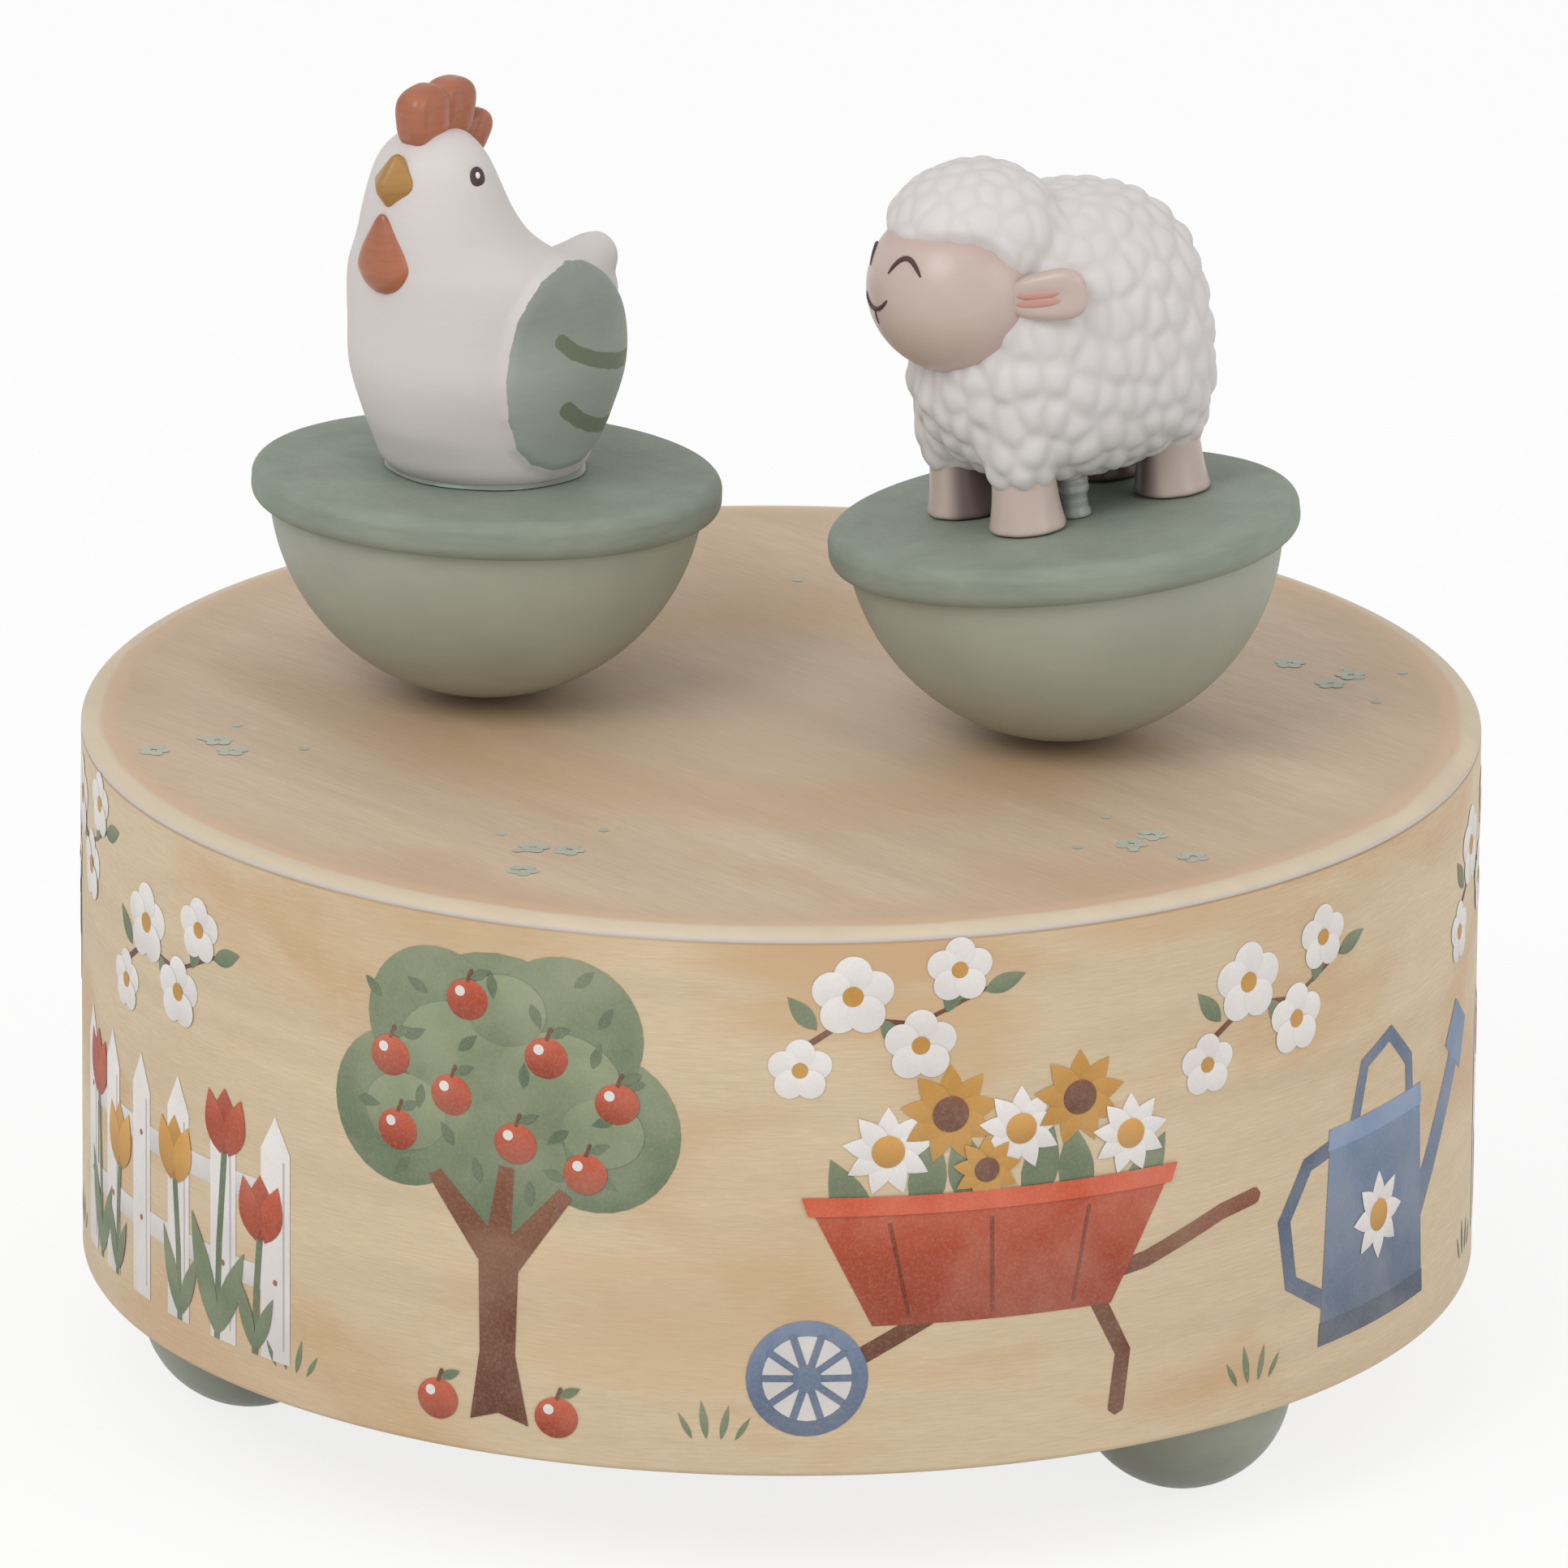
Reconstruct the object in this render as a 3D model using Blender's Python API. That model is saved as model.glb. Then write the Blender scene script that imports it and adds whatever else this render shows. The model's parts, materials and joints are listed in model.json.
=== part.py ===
"""A wind-up music box: a round wooden drum on three feet, with two magnetic tumblers on top.

The drum's axis is +Z through the origin, the feet stand on z = 0, and the front is -Y.
The movement sits on the bottom board. Its arbor turns the winding key under the drum, the crown
wheel that drives the pinned cylinder, and a rotor with two magnets close under the top board.
The magnets carry the hen's and the sheep's tumbler round.
"""
import math

import bmesh
import bpy
from mathutils import Matrix, Vector

MM = 0.001

# Clearances
SEAT_GAP = 0.1 * MM       # flat face on flat face
PRESS_GAP = 0.05 * MM     # piece pressed or glued on a round one
FIT_GAP = 0.3 * MM        # round piece inside or beside another
OVERRUN = 1.0 * MM        # how far a cutter reaches past what it cuts
MERGE_DISTANCE = 0.001 * MM

# Drum
DRUM_RADIUS = 55.0 * MM
DRUM_HEIGHT = 44.05 * MM
WALL_THICKNESS = 7.0 * MM
WALL_REBATE = 4.0 * MM            # shelf in the wall that the bottom board meets
WALL_EDGE_CUT = 0.5 * MM          # small bevel round the wall's lower edge
BOTTOM_BOARD_THICKNESS = 3.0 * MM
TOP_BOARD_THICKNESS = 3.0 * MM
TOP_EDGE_RADIUS = 1.2 * MM        # rounded rim of the top board
TOP_EDGE_BAND = 1.3 * MM          # height of the part of the top board that shows
ARBOR_OPENING_RADIUS = 4.6 * MM   # hole in the bottom board round the arbor

# Feet
FOOT_RADIUS = 8.55 * MM
FOOT_CENTRE_DROP = 0.84 * MM      # ball centre below the drum's lower edge
FOOT_FLAT_RADIUS = 1.8 * MM
FOOT_INSET = 11.7 * MM            # from the drum's side to a foot's centre
FOOT_COUNT = 3
FIRST_FOOT_ANGLE = math.radians(-43.1)

# Screws: head radius, head height, shank radius, shank length
FOOT_SCREW = (2.4 * MM, 1.4 * MM, 1.2 * MM, 8.0 * MM)
BOARD_SCREW = (1.9 * MM, 1.1 * MM, 1.0 * MM, 9.0 * MM)
MOVEMENT_SCREW = (2.4 * MM, 1.3 * MM, 1.2 * MM, 4.6 * MM)
SMALL_SCREW = (1.7 * MM, 1.0 * MM, 0.8 * MM, 2.5 * MM)
SCREW_CROWN_SHARE = 0.8           # head's radius at its top over its radius at its base
FOOT_SCREW_HOLE_DEPTH = 6.5 * MM
BOARD_SCREW_COUNT = 3
FIRST_BOARD_SCREW_ANGLE = math.radians(-103.0)

# Movement: bedplate, arbor, spring barrel and mainspring
BEDPLATE_THICKNESS = 1.5 * MM
BEDPLATE_LOW = (-15.0 * MM, -25.0 * MM)
BEDPLATE_HIGH = (40.5 * MM, 23.0 * MM)
BEDPLATE_CORNER = 3.0 * MM
MOVEMENT_SCREW_PLACES = (
    (-12.0 * MM, -17.5 * MM),
    (-12.0 * MM, 17.0 * MM),
    (25.0 * MM, 17.0 * MM),
)
ARBOR_RADIUS = 1.8 * MM
ARBOR_NECK_RADIUS = 1.3 * MM
ARBOR_LOW = 3.8 * MM              # height of the arbor's lower end above the ground
ARBOR_NECK_LENGTH = 2.6 * MM
BARREL_RADIUS = 11.3 * MM
BARREL_WALL = 0.8 * MM
BARREL_HEIGHT = 7.8 * MM
MAINSPRING_TURNS = 5
MAINSPRING_STRIP = 0.35 * MM
MAINSPRING_INNER_RADIUS = 2.6 * MM
MAINSPRING_OUTER_RADIUS = 9.8 * MM
MAINSPRING_HEIGHT = 5.8 * MM
MAINSPRING_STEPS_PER_TURN = 12

# Crown wheel on the arbor and pinion on the cylinder's shaft
CROWN_TEETH = 30
CROWN_PITCH_RADIUS = 10.5 * MM
CROWN_TOOTH_WIDTH = 1.6 * MM
CROWN_TOOTH_HEIGHT = 1.3 * MM
CROWN_DISC_THICKNESS = 1.2 * MM
CROWN_ABOVE_BARREL = 0.5 * MM
PINION_TEETH = 10
PINION_WIDTH = 1.2 * MM
CROWN_TOOTH_DEPTH = 0.75 * MM     # how far crown teeth reach past the pinion's pitch circle
PINION_ADDENDUM = 0.45 * MM
PINION_DEDENDUM = 1.0 * MM
TOOTH_ROOT_SHARE = 0.46
TOOTH_TIP_SHARE = 0.2

# Pinned cylinder, its shaft and its wheel
CYLINDER_RADIUS = 6.35 * MM
CYLINDER_LOW_X = 14.2 * MM
CYLINDER_LENGTH = 18.0 * MM
TRACKS = 18
CYLINDER_STEPS = 16
PIN_HEIGHT = 0.55 * MM
PIN_HALF_WIDTH = 0.3 * MM
PIN_TIP_SHARE = 0.6
SHAFT_RADIUS = 1.0 * MM
SHAFT_END_ROOM = 0.8 * MM
WHEEL_TEETH = 30
WHEEL_PITCH_RADIUS = 7.5 * MM
WHEEL_WIDTH = 1.2 * MM
WHEEL_GAP = 1.2 * MM              # between the cylinder's end and its wheel
WHEEL_ADDENDUM = 0.4 * MM
WHEEL_DEDENDUM = 0.85 * MM

# Bearing brackets
BRACKET_THICKNESS = 1.0 * MM
BRACKET_FOOT_LENGTH = 4.6 * MM
BRACKET_MARGIN = 3.0 * MM         # material beyond a bearing hole's centre
INNER_BRACKET_GAP = 0.8 * MM      # between the inner bracket and the cylinder
OUTER_BRACKET_GAP = 0.8 * MM      # between the cylinder's wheel and the outer bracket

# Governor: shaft with pinion and worm wheel, upright worm shaft with the air brake, frame
GOVERNOR_PINION_TEETH = 10
GOVERNOR_PINION_WIDTH = 1.6 * MM
GOVERNOR_DROP = 5.4 * MM          # governor shaft below the cylinder's shaft
WORM_WHEEL_TEETH = 12
WORM_WHEEL_RADIUS = 5.0 * MM
WORM_WHEEL_WIDTH = 1.2 * MM
WORM_WHEEL_GAP = 0.8 * MM
WORM_WHEEL_ADDENDUM = 0.35 * MM
WORM_WHEEL_DEDENDUM = 0.75 * MM
WORM_SHAFT_RADIUS = 0.6 * MM
WORM_RADIUS = 1.4 * MM
WORM_PITCH_RADIUS = 1.2 * MM
WORM_RIDGE_WIDTH = 0.9 * MM
WORM_LENGTH = 8.0 * MM
WORM_SIDES = 10
WORM_LEVELS = 22
FAN_RADIUS = 4.4 * MM
FAN_HEIGHT = 3.0 * MM
FAN_BLADE = 0.5 * MM
FAN_HUB_RADIUS = 1.3 * MM
FAN_ABOVE_BRACKET = 0.6 * MM
FRAME_ARM = 1.6 * MM              # thickness of the governor frame's arms
FRAME_WIDTH = 2.6 * MM
FRAME_NOSE = 1.8 * MM             # arm beyond the worm shaft's centre
FRAME_BACK_GAP = 1.2 * MM         # between the fan's circle and the frame's post
FRAME_PIVOT_GAP = 0.5 * MM        # between the fan and the upper arm

# Comb and its base
COMB_THICKNESS = 0.8 * MM
COMB_PIN_GAP = 0.4 * MM           # between the teeth's tips and the pins' circle
COMB_TOOTH_LENGTH = 6.6 * MM
COMB_TOOTH_SHARE = 0.7
COMB_ROOT_DEPTH = 8.0 * MM
COMB_BASE_FLANGE = 1.5 * MM
COMB_BASE_WEB = 1.6 * MM
COMB_BASE_FOOT = 8.5 * MM
COMB_SIDE_MARGIN = 0.6 * MM
COMB_SCREW_INSET = 3.4 * MM
COMB_BASE_SCREW_INSET = 5.4 * MM

# Winding key
KEY_HUB_RADIUS = 3.0 * MM
KEY_HUB_HEIGHT = 6.4 * MM
KEY_LOW = 1.0 * MM
KEY_WING_HEIGHT = 7.0 * MM
KEY_SPAN = 19.6 * MM
KEY_THICKNESS = 1.8 * MM
KEY_HOLE_RADIUS = 1.8 * MM
KEY_HUB_LIFT = 1.2 * MM           # hub's lower end above the wings' lower edge

# Rotor
ROTOR_WIDTH = 7.0 * MM
ROTOR_THICKNESS = 1.5 * MM
ROTOR_END_RADIUS = 4.8 * MM
ROTOR_RUNNING_GAP = 0.8 * MM      # between the magnets and the top board
ROTOR_MAGNET_RADIUS = 4.0 * MM
ROTOR_MAGNET_HEIGHT = 2.2 * MM

# Tumblers: bowl, lid, magnet, ring weight
BOWL_RADIUS = 17.15 * MM
BOWL_WALL = 2.6 * MM
BOWL_REST_GAP = 0.2 * MM
LID_RADIUS = 18.5 * MM
LID_BELOW_CENTRE = 2.0 * MM
LID_ABOVE_CENTRE = 1.15 * MM
LID_EDGE_RADIUS = 1.1 * MM
LID_SPIGOT_DEPTH = 1.2 * MM
TUMBLER_MAGNET_RADIUS = 3.6 * MM
TUMBLER_MAGNET_HEIGHT = 2.2 * MM
WEIGHT_WIDTH = 4.65 * MM
WEIGHT_BELOW_LID = 0.6 * MM
HEN_PLACE = (-23.25 * MM, 4.62 * MM)
HEN_LEAN = (math.radians(1.98), math.radians(2.85))
HEN_HEADING = math.radians(38.0)
SHEEP_PLACE = (21.9 * MM, -5.37 * MM)
SHEEP_LEAN = (math.radians(-5.68), math.radians(2.44))
SHEEP_HEADING = math.radians(55.0)

# Hen: height of the body, greatest half length and half width, and the outline in shares of them
HEN_HEIGHT = 28.8 * MM
HEN_HALF_LENGTH = 11.9 * MM
HEN_HALF_WIDTH = 10.2 * MM
HEN_HEAD_FORWARD = 8.3 * MM
HEN_BODY_SIDES = 24
# share of height, forward place, half length, half width
HEN_OUTLINE_SHARES = (
    (0.000, 0.04, 0.64, 0.71),
    (0.030, 0.05, 0.72, 0.77),
    (0.090, 0.07, 0.84, 0.85),
    (0.160, 0.09, 0.92, 0.92),
    (0.300, 0.12, 0.99, 0.99),
    (0.430, 0.15, 1.00, 1.00),
    (0.520, 0.22, 0.94, 0.95),
    (0.590, 0.42, 0.79, 0.83),
    (0.640, 0.65, 0.65, 0.71),
    (0.690, 0.84, 0.55, 0.63),
    (0.760, 0.93, 0.485, 0.56),
    (0.840, 0.98, 0.43, 0.50),
    (0.910, 1.00, 0.37, 0.43),
    (0.960, 1.00, 0.28, 0.32),
    (0.990, 0.99, 0.14, 0.16),
)
# Places on the body's middle plane: share of half length from the body's axis, share of height
TAIL_TIP_SHARES = (-1.042, 0.542)
TAIL_ROOT_SHARES = (-0.286, 0.368)
TAIL_TIP_RADIUS = 2.1 * MM
TAIL_ROOT_RADIUS = 6.0 * MM
# Places on the head: share of half length from the head's axis, share of height
HEN_COMB_SHARES = ((0.193, 1.028), (-0.101, 1.035), (-0.361, 0.962))
# Comb lobes: half sizes forward, across and up
HEN_COMB_HALF = (
    (2.5 * MM, 1.5 * MM, 3.1 * MM),
    (2.4 * MM, 1.5 * MM, 3.0 * MM),
    (1.6 * MM, 1.2 * MM, 2.0 * MM),
)
BEAK_SHARES = (0.345, 0.872)
BEAK_HALF = (2.0 * MM, 1.9 * MM, 2.7 * MM)
WATTLE_SHARES = (0.370, 0.674)
WATTLE_HALF = (1.6 * MM, 2.35 * MM, 2.9 * MM)

# Sheep: the body's place and half sizes, and the other masses placed by shares of them
SHEEP_SHIFT = -1.2 * MM
SHEEP_BODY_PLACE = (-2.4 * MM, 0.0, 14.4 * MM)
SHEEP_BODY_HALF = (12.6 * MM, 10.4 * MM, 11.4 * MM)
SHEEP_BODY_SQUARENESS_SHARE = 0.78
# From the body's centre, in shares of its half sizes
SHEEP_FACE_SHARES = (0.730, 0.0, 0.421)
SHEEP_FACE_HALF = (7.3 * MM, 7.4 * MM, 6.9 * MM)
SHEEP_CAP_SHARES = (0.587, 0.0, 0.789)
SHEEP_CAP_HALF = (7.3 * MM, 7.5 * MM, 6.8 * MM)
# From the face's centre, in shares of its half sizes
SHEEP_EAR_SHARES = (-0.219, 1.027, -0.188)
SHEEP_EAR_HALF = (3.3 * MM, 1.3 * MM, 1.9 * MM)
SHEEP_EAR_SPLAY = math.radians(38.0)
SHEEP_LEG_FORWARD_SHARES = (0.619, -0.484)
SHEEP_LEG_ASIDE_SHARE = 0.404
LEG_FOOT_RADIUS = 3.1 * MM
LEG_TOP_RADIUS = 2.5 * MM
LEG_HEIGHT_SHARE = 0.486          # of the height of the body's centre
GLUE_PEG_ASIDE_SHARE = 0.370
GLUE_PEG_RADIUS = 1.3 * MM

# Facets
FINE_SIDES = 48
ROUND_SIDES = 28
SMALL_SIDES = 12

# Heights that follow from the sizes above
DRUM_BOTTOM = FOOT_CENTRE_DROP + math.sqrt(FOOT_RADIUS**2 - FOOT_FLAT_RADIUS**2)
DRUM_TOP = DRUM_BOTTOM + DRUM_HEIGHT
FLOOR = DRUM_BOTTOM + BOTTOM_BOARD_THICKNESS
FOOT_CIRCLE_RADIUS = DRUM_RADIUS - FOOT_INSET
INNER_RADIUS = DRUM_RADIUS - WALL_THICKNESS
REBATE_RADIUS = INNER_RADIUS + WALL_REBATE
BED_LOW = FLOOR + SEAT_GAP
BED_TOP = BED_LOW + BEDPLATE_THICKNESS
BARREL_LOW = BED_TOP + SEAT_GAP
BARREL_TOP = BARREL_LOW + BARREL_HEIGHT
CROWN_LOW = BARREL_TOP + CROWN_ABOVE_BARREL
CROWN_TOP = CROWN_LOW + CROWN_DISC_THICKNESS
PINION_PITCH_RADIUS = CROWN_PITCH_RADIUS * PINION_TEETH / CROWN_TEETH
CYLINDER_Z = CROWN_TOP + CROWN_TOOTH_HEIGHT - CROWN_TOOTH_DEPTH + PINION_PITCH_RADIUS
ROTOR_MAGNET_TOP = DRUM_TOP - TOP_BOARD_THICKNESS - ROTOR_RUNNING_GAP
ROTOR_TOP = ROTOR_MAGNET_TOP - ROTOR_MAGNET_HEIGHT - SEAT_GAP
ROTOR_LOW = ROTOR_TOP - ROTOR_THICKNESS
WHEEL_LOW_X = CYLINDER_LOW_X + CYLINDER_LENGTH + WHEEL_GAP
OUTER_BRACKET_X = WHEEL_LOW_X + WHEEL_WIDTH + OUTER_BRACKET_GAP
INNER_BRACKET_X = CYLINDER_LOW_X - INNER_BRACKET_GAP - BRACKET_THICKNESS
WORM_WHEEL_X = OUTER_BRACKET_X + BRACKET_THICKNESS + WORM_WHEEL_GAP
WORM_X = WORM_WHEEL_X + WORM_WHEEL_WIDTH / 2
GOVERNOR_PINION_RADIUS = WHEEL_PITCH_RADIUS * GOVERNOR_PINION_TEETH / WHEEL_TEETH
GOVERNOR_DISTANCE = WHEEL_PITCH_RADIUS + GOVERNOR_PINION_RADIUS
GOVERNOR_Y = math.sqrt(GOVERNOR_DISTANCE**2 - GOVERNOR_DROP**2)
GOVERNOR_Z = CYLINDER_Z - GOVERNOR_DROP
WORM_Y = GOVERNOR_Y + WORM_WHEEL_RADIUS + WORM_PITCH_RADIUS
WORM_LEAD = 2 * math.pi * WORM_WHEEL_RADIUS / WORM_WHEEL_TEETH
FAN_LOW = CYLINDER_Z + BRACKET_MARGIN + FAN_ABOVE_BRACKET
FAN_TOP = FAN_LOW + FAN_HEIGHT
TUMBLER_Z = DRUM_TOP + BOWL_REST_GAP + BOWL_RADIUS
FIGURE_FLOOR = LID_ABOVE_CENTRE + SEAT_GAP

# Planes in which a plate's outline can lie: columns are the outline's u, v and thickness axes
FLAT = Matrix.Identity(4)
FACING_X = Matrix(((0, 0, 1, 0), (1, 0, 0, 0), (0, 1, 0, 0), (0, 0, 0, 1)))
FACING_Y = Matrix(((1, 0, 0, 0), (0, 0, -1, 0), (0, 1, 0, 0), (0, 0, 0, 1)))


def clear_scene():
    for old in list(bpy.data.objects):
        bpy.data.objects.remove(old, do_unlink=True)


def material(name, colour, roughness, metallic=0.0):
    """A Principled BSDF of one colour."""
    made = bpy.data.materials.new(name)
    made.use_nodes = True
    shader = made.node_tree.nodes["Principled BSDF"]
    shader.inputs["Base Color"].default_value = (*colour, 1.0)
    shader.inputs["Roughness"].default_value = roughness
    shader.inputs["Metallic"].default_value = metallic
    return made


def empty(name, place, turn=None):
    """A bare axis that moving pieces hang on."""
    axis = bpy.data.objects.new(name, None)
    axis.location = place
    if turn is not None:
        axis.rotation_mode = "QUATERNION"
        axis.rotation_quaternion = turn.to_quaternion()
    bpy.context.collection.objects.link(axis)
    return axis


def finish(name, bm, mat, parent=None, smooth_angle=35.0):
    """Turn a bmesh into a named object with outward normals."""
    bmesh.ops.recalc_face_normals(bm, faces=bm.faces)
    mesh = bpy.data.meshes.new(name)
    bm.to_mesh(mesh)
    bm.free()
    mesh.materials.append(mat)
    mesh.shade_smooth()
    mesh.set_sharp_from_angle(angle=math.radians(smooth_angle))
    made = bpy.data.objects.new(name, mesh)
    made.parent = parent
    bpy.context.collection.objects.link(made)
    return made


def helper(made):
    """Mark an object as a tool for others, not a piece."""
    made.hide_render = True
    made.display_type = "WIRE"
    return made


def boolean(target, tool, operation="DIFFERENCE"):
    step = target.modifiers.new(tool.name, "BOOLEAN")
    step.object = tool
    step.operation = operation
    step.solver = "EXACT"
    helper(tool)


def circle(radius, sides, centre=(0.0, 0.0), phase=0.0):
    points = []
    for index in range(sides):
        angle = phase + 2 * math.pi * index / sides
        points.append((centre[0] + radius * math.cos(angle), centre[1] + radius * math.sin(angle)))
    return points


def arc(centre, radius, start, end, steps):
    """Points on an arc, its angles in radians, both ends included."""
    points = []
    for index in range(steps + 1):
        angle = start + (end - start) * index / steps
        points.append((centre[0] + radius * math.cos(angle), centre[1] + radius * math.sin(angle)))
    return points


def rounded_rectangle(low, high, corner, steps=4):
    quarter = math.pi / 2
    points = arc((high[0] - corner, high[1] - corner), corner, 0.0, quarter, steps)
    points += arc((low[0] + corner, high[1] - corner), corner, quarter, 2 * quarter, steps)
    points += arc((low[0] + corner, low[1] + corner), corner, 2 * quarter, 3 * quarter, steps)
    points += arc((high[0] - corner, low[1] + corner), corner, 3 * quarter, 4 * quarter, steps)
    return points


def gear_outline(teeth, pitch_radius, addendum, dedendum, phase=0.0):
    """Trapezoid teeth. The middle of the first tooth is at the phase angle."""
    pitch = 2 * math.pi / teeth
    root = pitch_radius - dedendum
    tip = pitch_radius + addendum
    points = []
    for index in range(teeth):
        middle = phase + pitch * index
        for radius, share in (
            (root, -TOOTH_ROOT_SHARE), (tip, -TOOTH_TIP_SHARE), (tip, TOOTH_TIP_SHARE), (root, TOOTH_ROOT_SHARE)
        ):
            angle = middle + share * pitch / 2
            points.append((radius * math.cos(angle), radius * math.sin(angle)))
    return points


def turned(name, profile, mat, sides, parent=None, axis="Z", place=(0.0, 0.0, 0.0)):
    """Spin a profile of (radius, height) points. An end at radius zero closes on the axis."""
    bm = bmesh.new()
    verts = [bm.verts.new((radius, 0.0, height)) for radius, height in profile]
    edges = [bm.edges.new(pair) for pair in zip(verts, verts[1:])]
    if profile[0][0] > 0.0:
        edges.append(bm.edges.new((verts[-1], verts[0])))
    bmesh.ops.spin(
        bm, geom=verts + edges, cent=(0, 0, 0), axis=(0, 0, 1), angle=2 * math.pi, steps=sides, use_merge=True
    )
    bmesh.ops.remove_doubles(bm, verts=bm.verts, dist=MERGE_DISTANCE)
    if axis == "X":
        bmesh.ops.rotate(bm, verts=bm.verts, matrix=Matrix.Rotation(math.pi / 2, 3, "Y"))
    bmesh.ops.translate(bm, verts=bm.verts, vec=place)
    return finish(name, bm, mat, parent)


def plate(name, outline, thickness, mat, place=(0.0, 0.0, 0.0), plane=FLAT, holes=(), parent=None):
    """A flat outline with holes, given its thickness along the plane's third axis."""
    bm = bmesh.new()
    edges = []
    for loop in (outline, *holes):
        verts = [bm.verts.new((u, v, 0.0)) for u, v in loop]
        edges += [bm.edges.new((verts[index - 1], verts[index])) for index in range(len(verts))]
    filled = bmesh.ops.triangle_fill(bm, edges=edges, use_beauty=True, use_dissolve=False)
    faces = [item for item in filled["geom"] if isinstance(item, bmesh.types.BMFace)]
    raised = bmesh.ops.extrude_face_region(bm, geom=faces, use_keep_orig=True)
    upper = [item for item in raised["geom"] if isinstance(item, bmesh.types.BMVert)]
    bmesh.ops.translate(bm, verts=upper, vec=(0.0, 0.0, thickness))
    bmesh.ops.transform(bm, matrix=Matrix.Translation(place) @ plane, verts=bm.verts)
    return finish(name, bm, mat, parent)


def ball(name, half, mat, place, parent=None, turn=None, sides=16, rings=10, square=1.0):
    """An ellipsoid. A squareness below one fills it out towards a box."""
    bm = bmesh.new()
    bmesh.ops.create_uvsphere(bm, u_segments=sides, v_segments=rings, radius=1.0)
    for vert in bm.verts:
        for index in range(3):
            share = vert.co[index]
            vert.co[index] = math.copysign(abs(share) ** square, share) * half[index]
    if turn is not None:
        bmesh.ops.transform(bm, matrix=turn.to_4x4(), verts=bm.verts)
    bmesh.ops.translate(bm, verts=bm.verts, vec=place)
    return finish(name, bm, mat, parent)


def screw(name, sizes, mat, place, head_up=True, parent=None):
    """A pan-head screw whose head sits on the given place."""
    head_radius, head_height, shank_radius, shank_length = sizes
    profile = [
        (0.0, head_height), (head_radius * SCREW_CROWN_SHARE, head_height), (head_radius, SEAT_GAP),
        (shank_radius, SEAT_GAP), (shank_radius, -shank_length), (0.0, -shank_length),
    ]
    if not head_up:
        profile = [(radius, -height) for radius, height in profile]
    return turned(name, profile, mat, SMALL_SIDES, parent, place=place)


def polar(radius, angle, height):
    return (radius * math.cos(angle), radius * math.sin(angle), height)


def build_drum(wood, veneer, paint, steel):
    """Side wall, two boards, feet and their screws."""
    wall_top = DRUM_TOP - TOP_EDGE_BAND - SEAT_GAP
    shelf = FLOOR + SEAT_GAP
    wall = turned("side_wall", [
        (DRUM_RADIUS - WALL_EDGE_CUT, DRUM_BOTTOM), (REBATE_RADIUS, DRUM_BOTTOM), (REBATE_RADIUS, shelf),
        (INNER_RADIUS, shelf), (INNER_RADIUS, wall_top), (DRUM_RADIUS, wall_top),
        (DRUM_RADIUS, DRUM_BOTTOM + WALL_EDGE_CUT),
    ], veneer, FINE_SIDES)
    rim = arc((DRUM_RADIUS - TOP_EDGE_RADIUS, DRUM_TOP - TOP_EDGE_RADIUS), TOP_EDGE_RADIUS, 0.0, math.pi / 2, 3)
    spigot = INNER_RADIUS - FIT_GAP
    underside = DRUM_TOP - TOP_BOARD_THICKNESS
    turned("top_board", [
        (0.0, underside), (spigot, underside), (spigot, DRUM_TOP - TOP_EDGE_BAND),
        (DRUM_RADIUS, DRUM_TOP - TOP_EDGE_BAND), *rim, (0.0, DRUM_TOP),
    ], veneer, FINE_SIDES)

    holes = [circle(ARBOR_OPENING_RADIUS, ROUND_SIDES)]
    screw_circle = (INNER_RADIUS + REBATE_RADIUS - FIT_GAP) / 2
    for index in range(BOARD_SCREW_COUNT):
        angle = FIRST_BOARD_SCREW_ANGLE + 2 * math.pi * index / BOARD_SCREW_COUNT
        place = polar(screw_circle, angle, DRUM_BOTTOM)
        screw(f"board_screw_{index + 1}", BOARD_SCREW, steel, place, head_up=False)
        drill = BOARD_SCREW[2] + FIT_GAP
        holes.append(circle(drill, SMALL_SIDES, place[:2]))
        depth = BOARD_SCREW[3] + OVERRUN
        boolean(wall, turned(f"wall_drill_{index + 1}", disc_profile(drill, 0.0, depth), steel, SMALL_SIDES,
                             place=place))
    for index in range(FOOT_COUNT):
        angle = FIRST_FOOT_ANGLE + 2 * math.pi * index / FOOT_COUNT
        build_foot(index + 1, polar(FOOT_CIRCLE_RADIUS, angle, 0.0), paint, steel)
        holes.append(circle(FOOT_SCREW[2] + FIT_GAP, SMALL_SIDES, polar(FOOT_CIRCLE_RADIUS, angle, 0.0)[:2]))
    for place in MOVEMENT_SCREW_PLACES:
        holes.append(circle(MOVEMENT_SCREW[2] + FIT_GAP, SMALL_SIDES, place))
    plate("bottom_board", circle(REBATE_RADIUS - FIT_GAP, FINE_SIDES), BOTTOM_BOARD_THICKNESS, wood,
          place=(0.0, 0.0, DRUM_BOTTOM), holes=holes)


def build_foot(number, place, paint, steel):
    """A half-ball foot with a small flat, held by a screw from inside."""
    centre = DRUM_BOTTOM - FOOT_CENTRE_DROP
    top = DRUM_BOTTOM - SEAT_GAP
    start = math.atan2(-centre, FOOT_FLAT_RADIUS)
    end = math.asin((top - centre) / FOOT_RADIUS)
    drill = FOOT_SCREW[2] + FIT_GAP
    turned(f"foot_{number}", [
        (0.0, 0.0), *arc((0.0, centre), FOOT_RADIUS, start, end, 6),
        (drill, top), (drill, top - FOOT_SCREW_HOLE_DEPTH), (0.0, top - FOOT_SCREW_HOLE_DEPTH),
    ], paint, ROUND_SIDES, place=place)
    screw(f"foot_screw_{number}", FOOT_SCREW, steel, (place[0], place[1], FLOOR))


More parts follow.
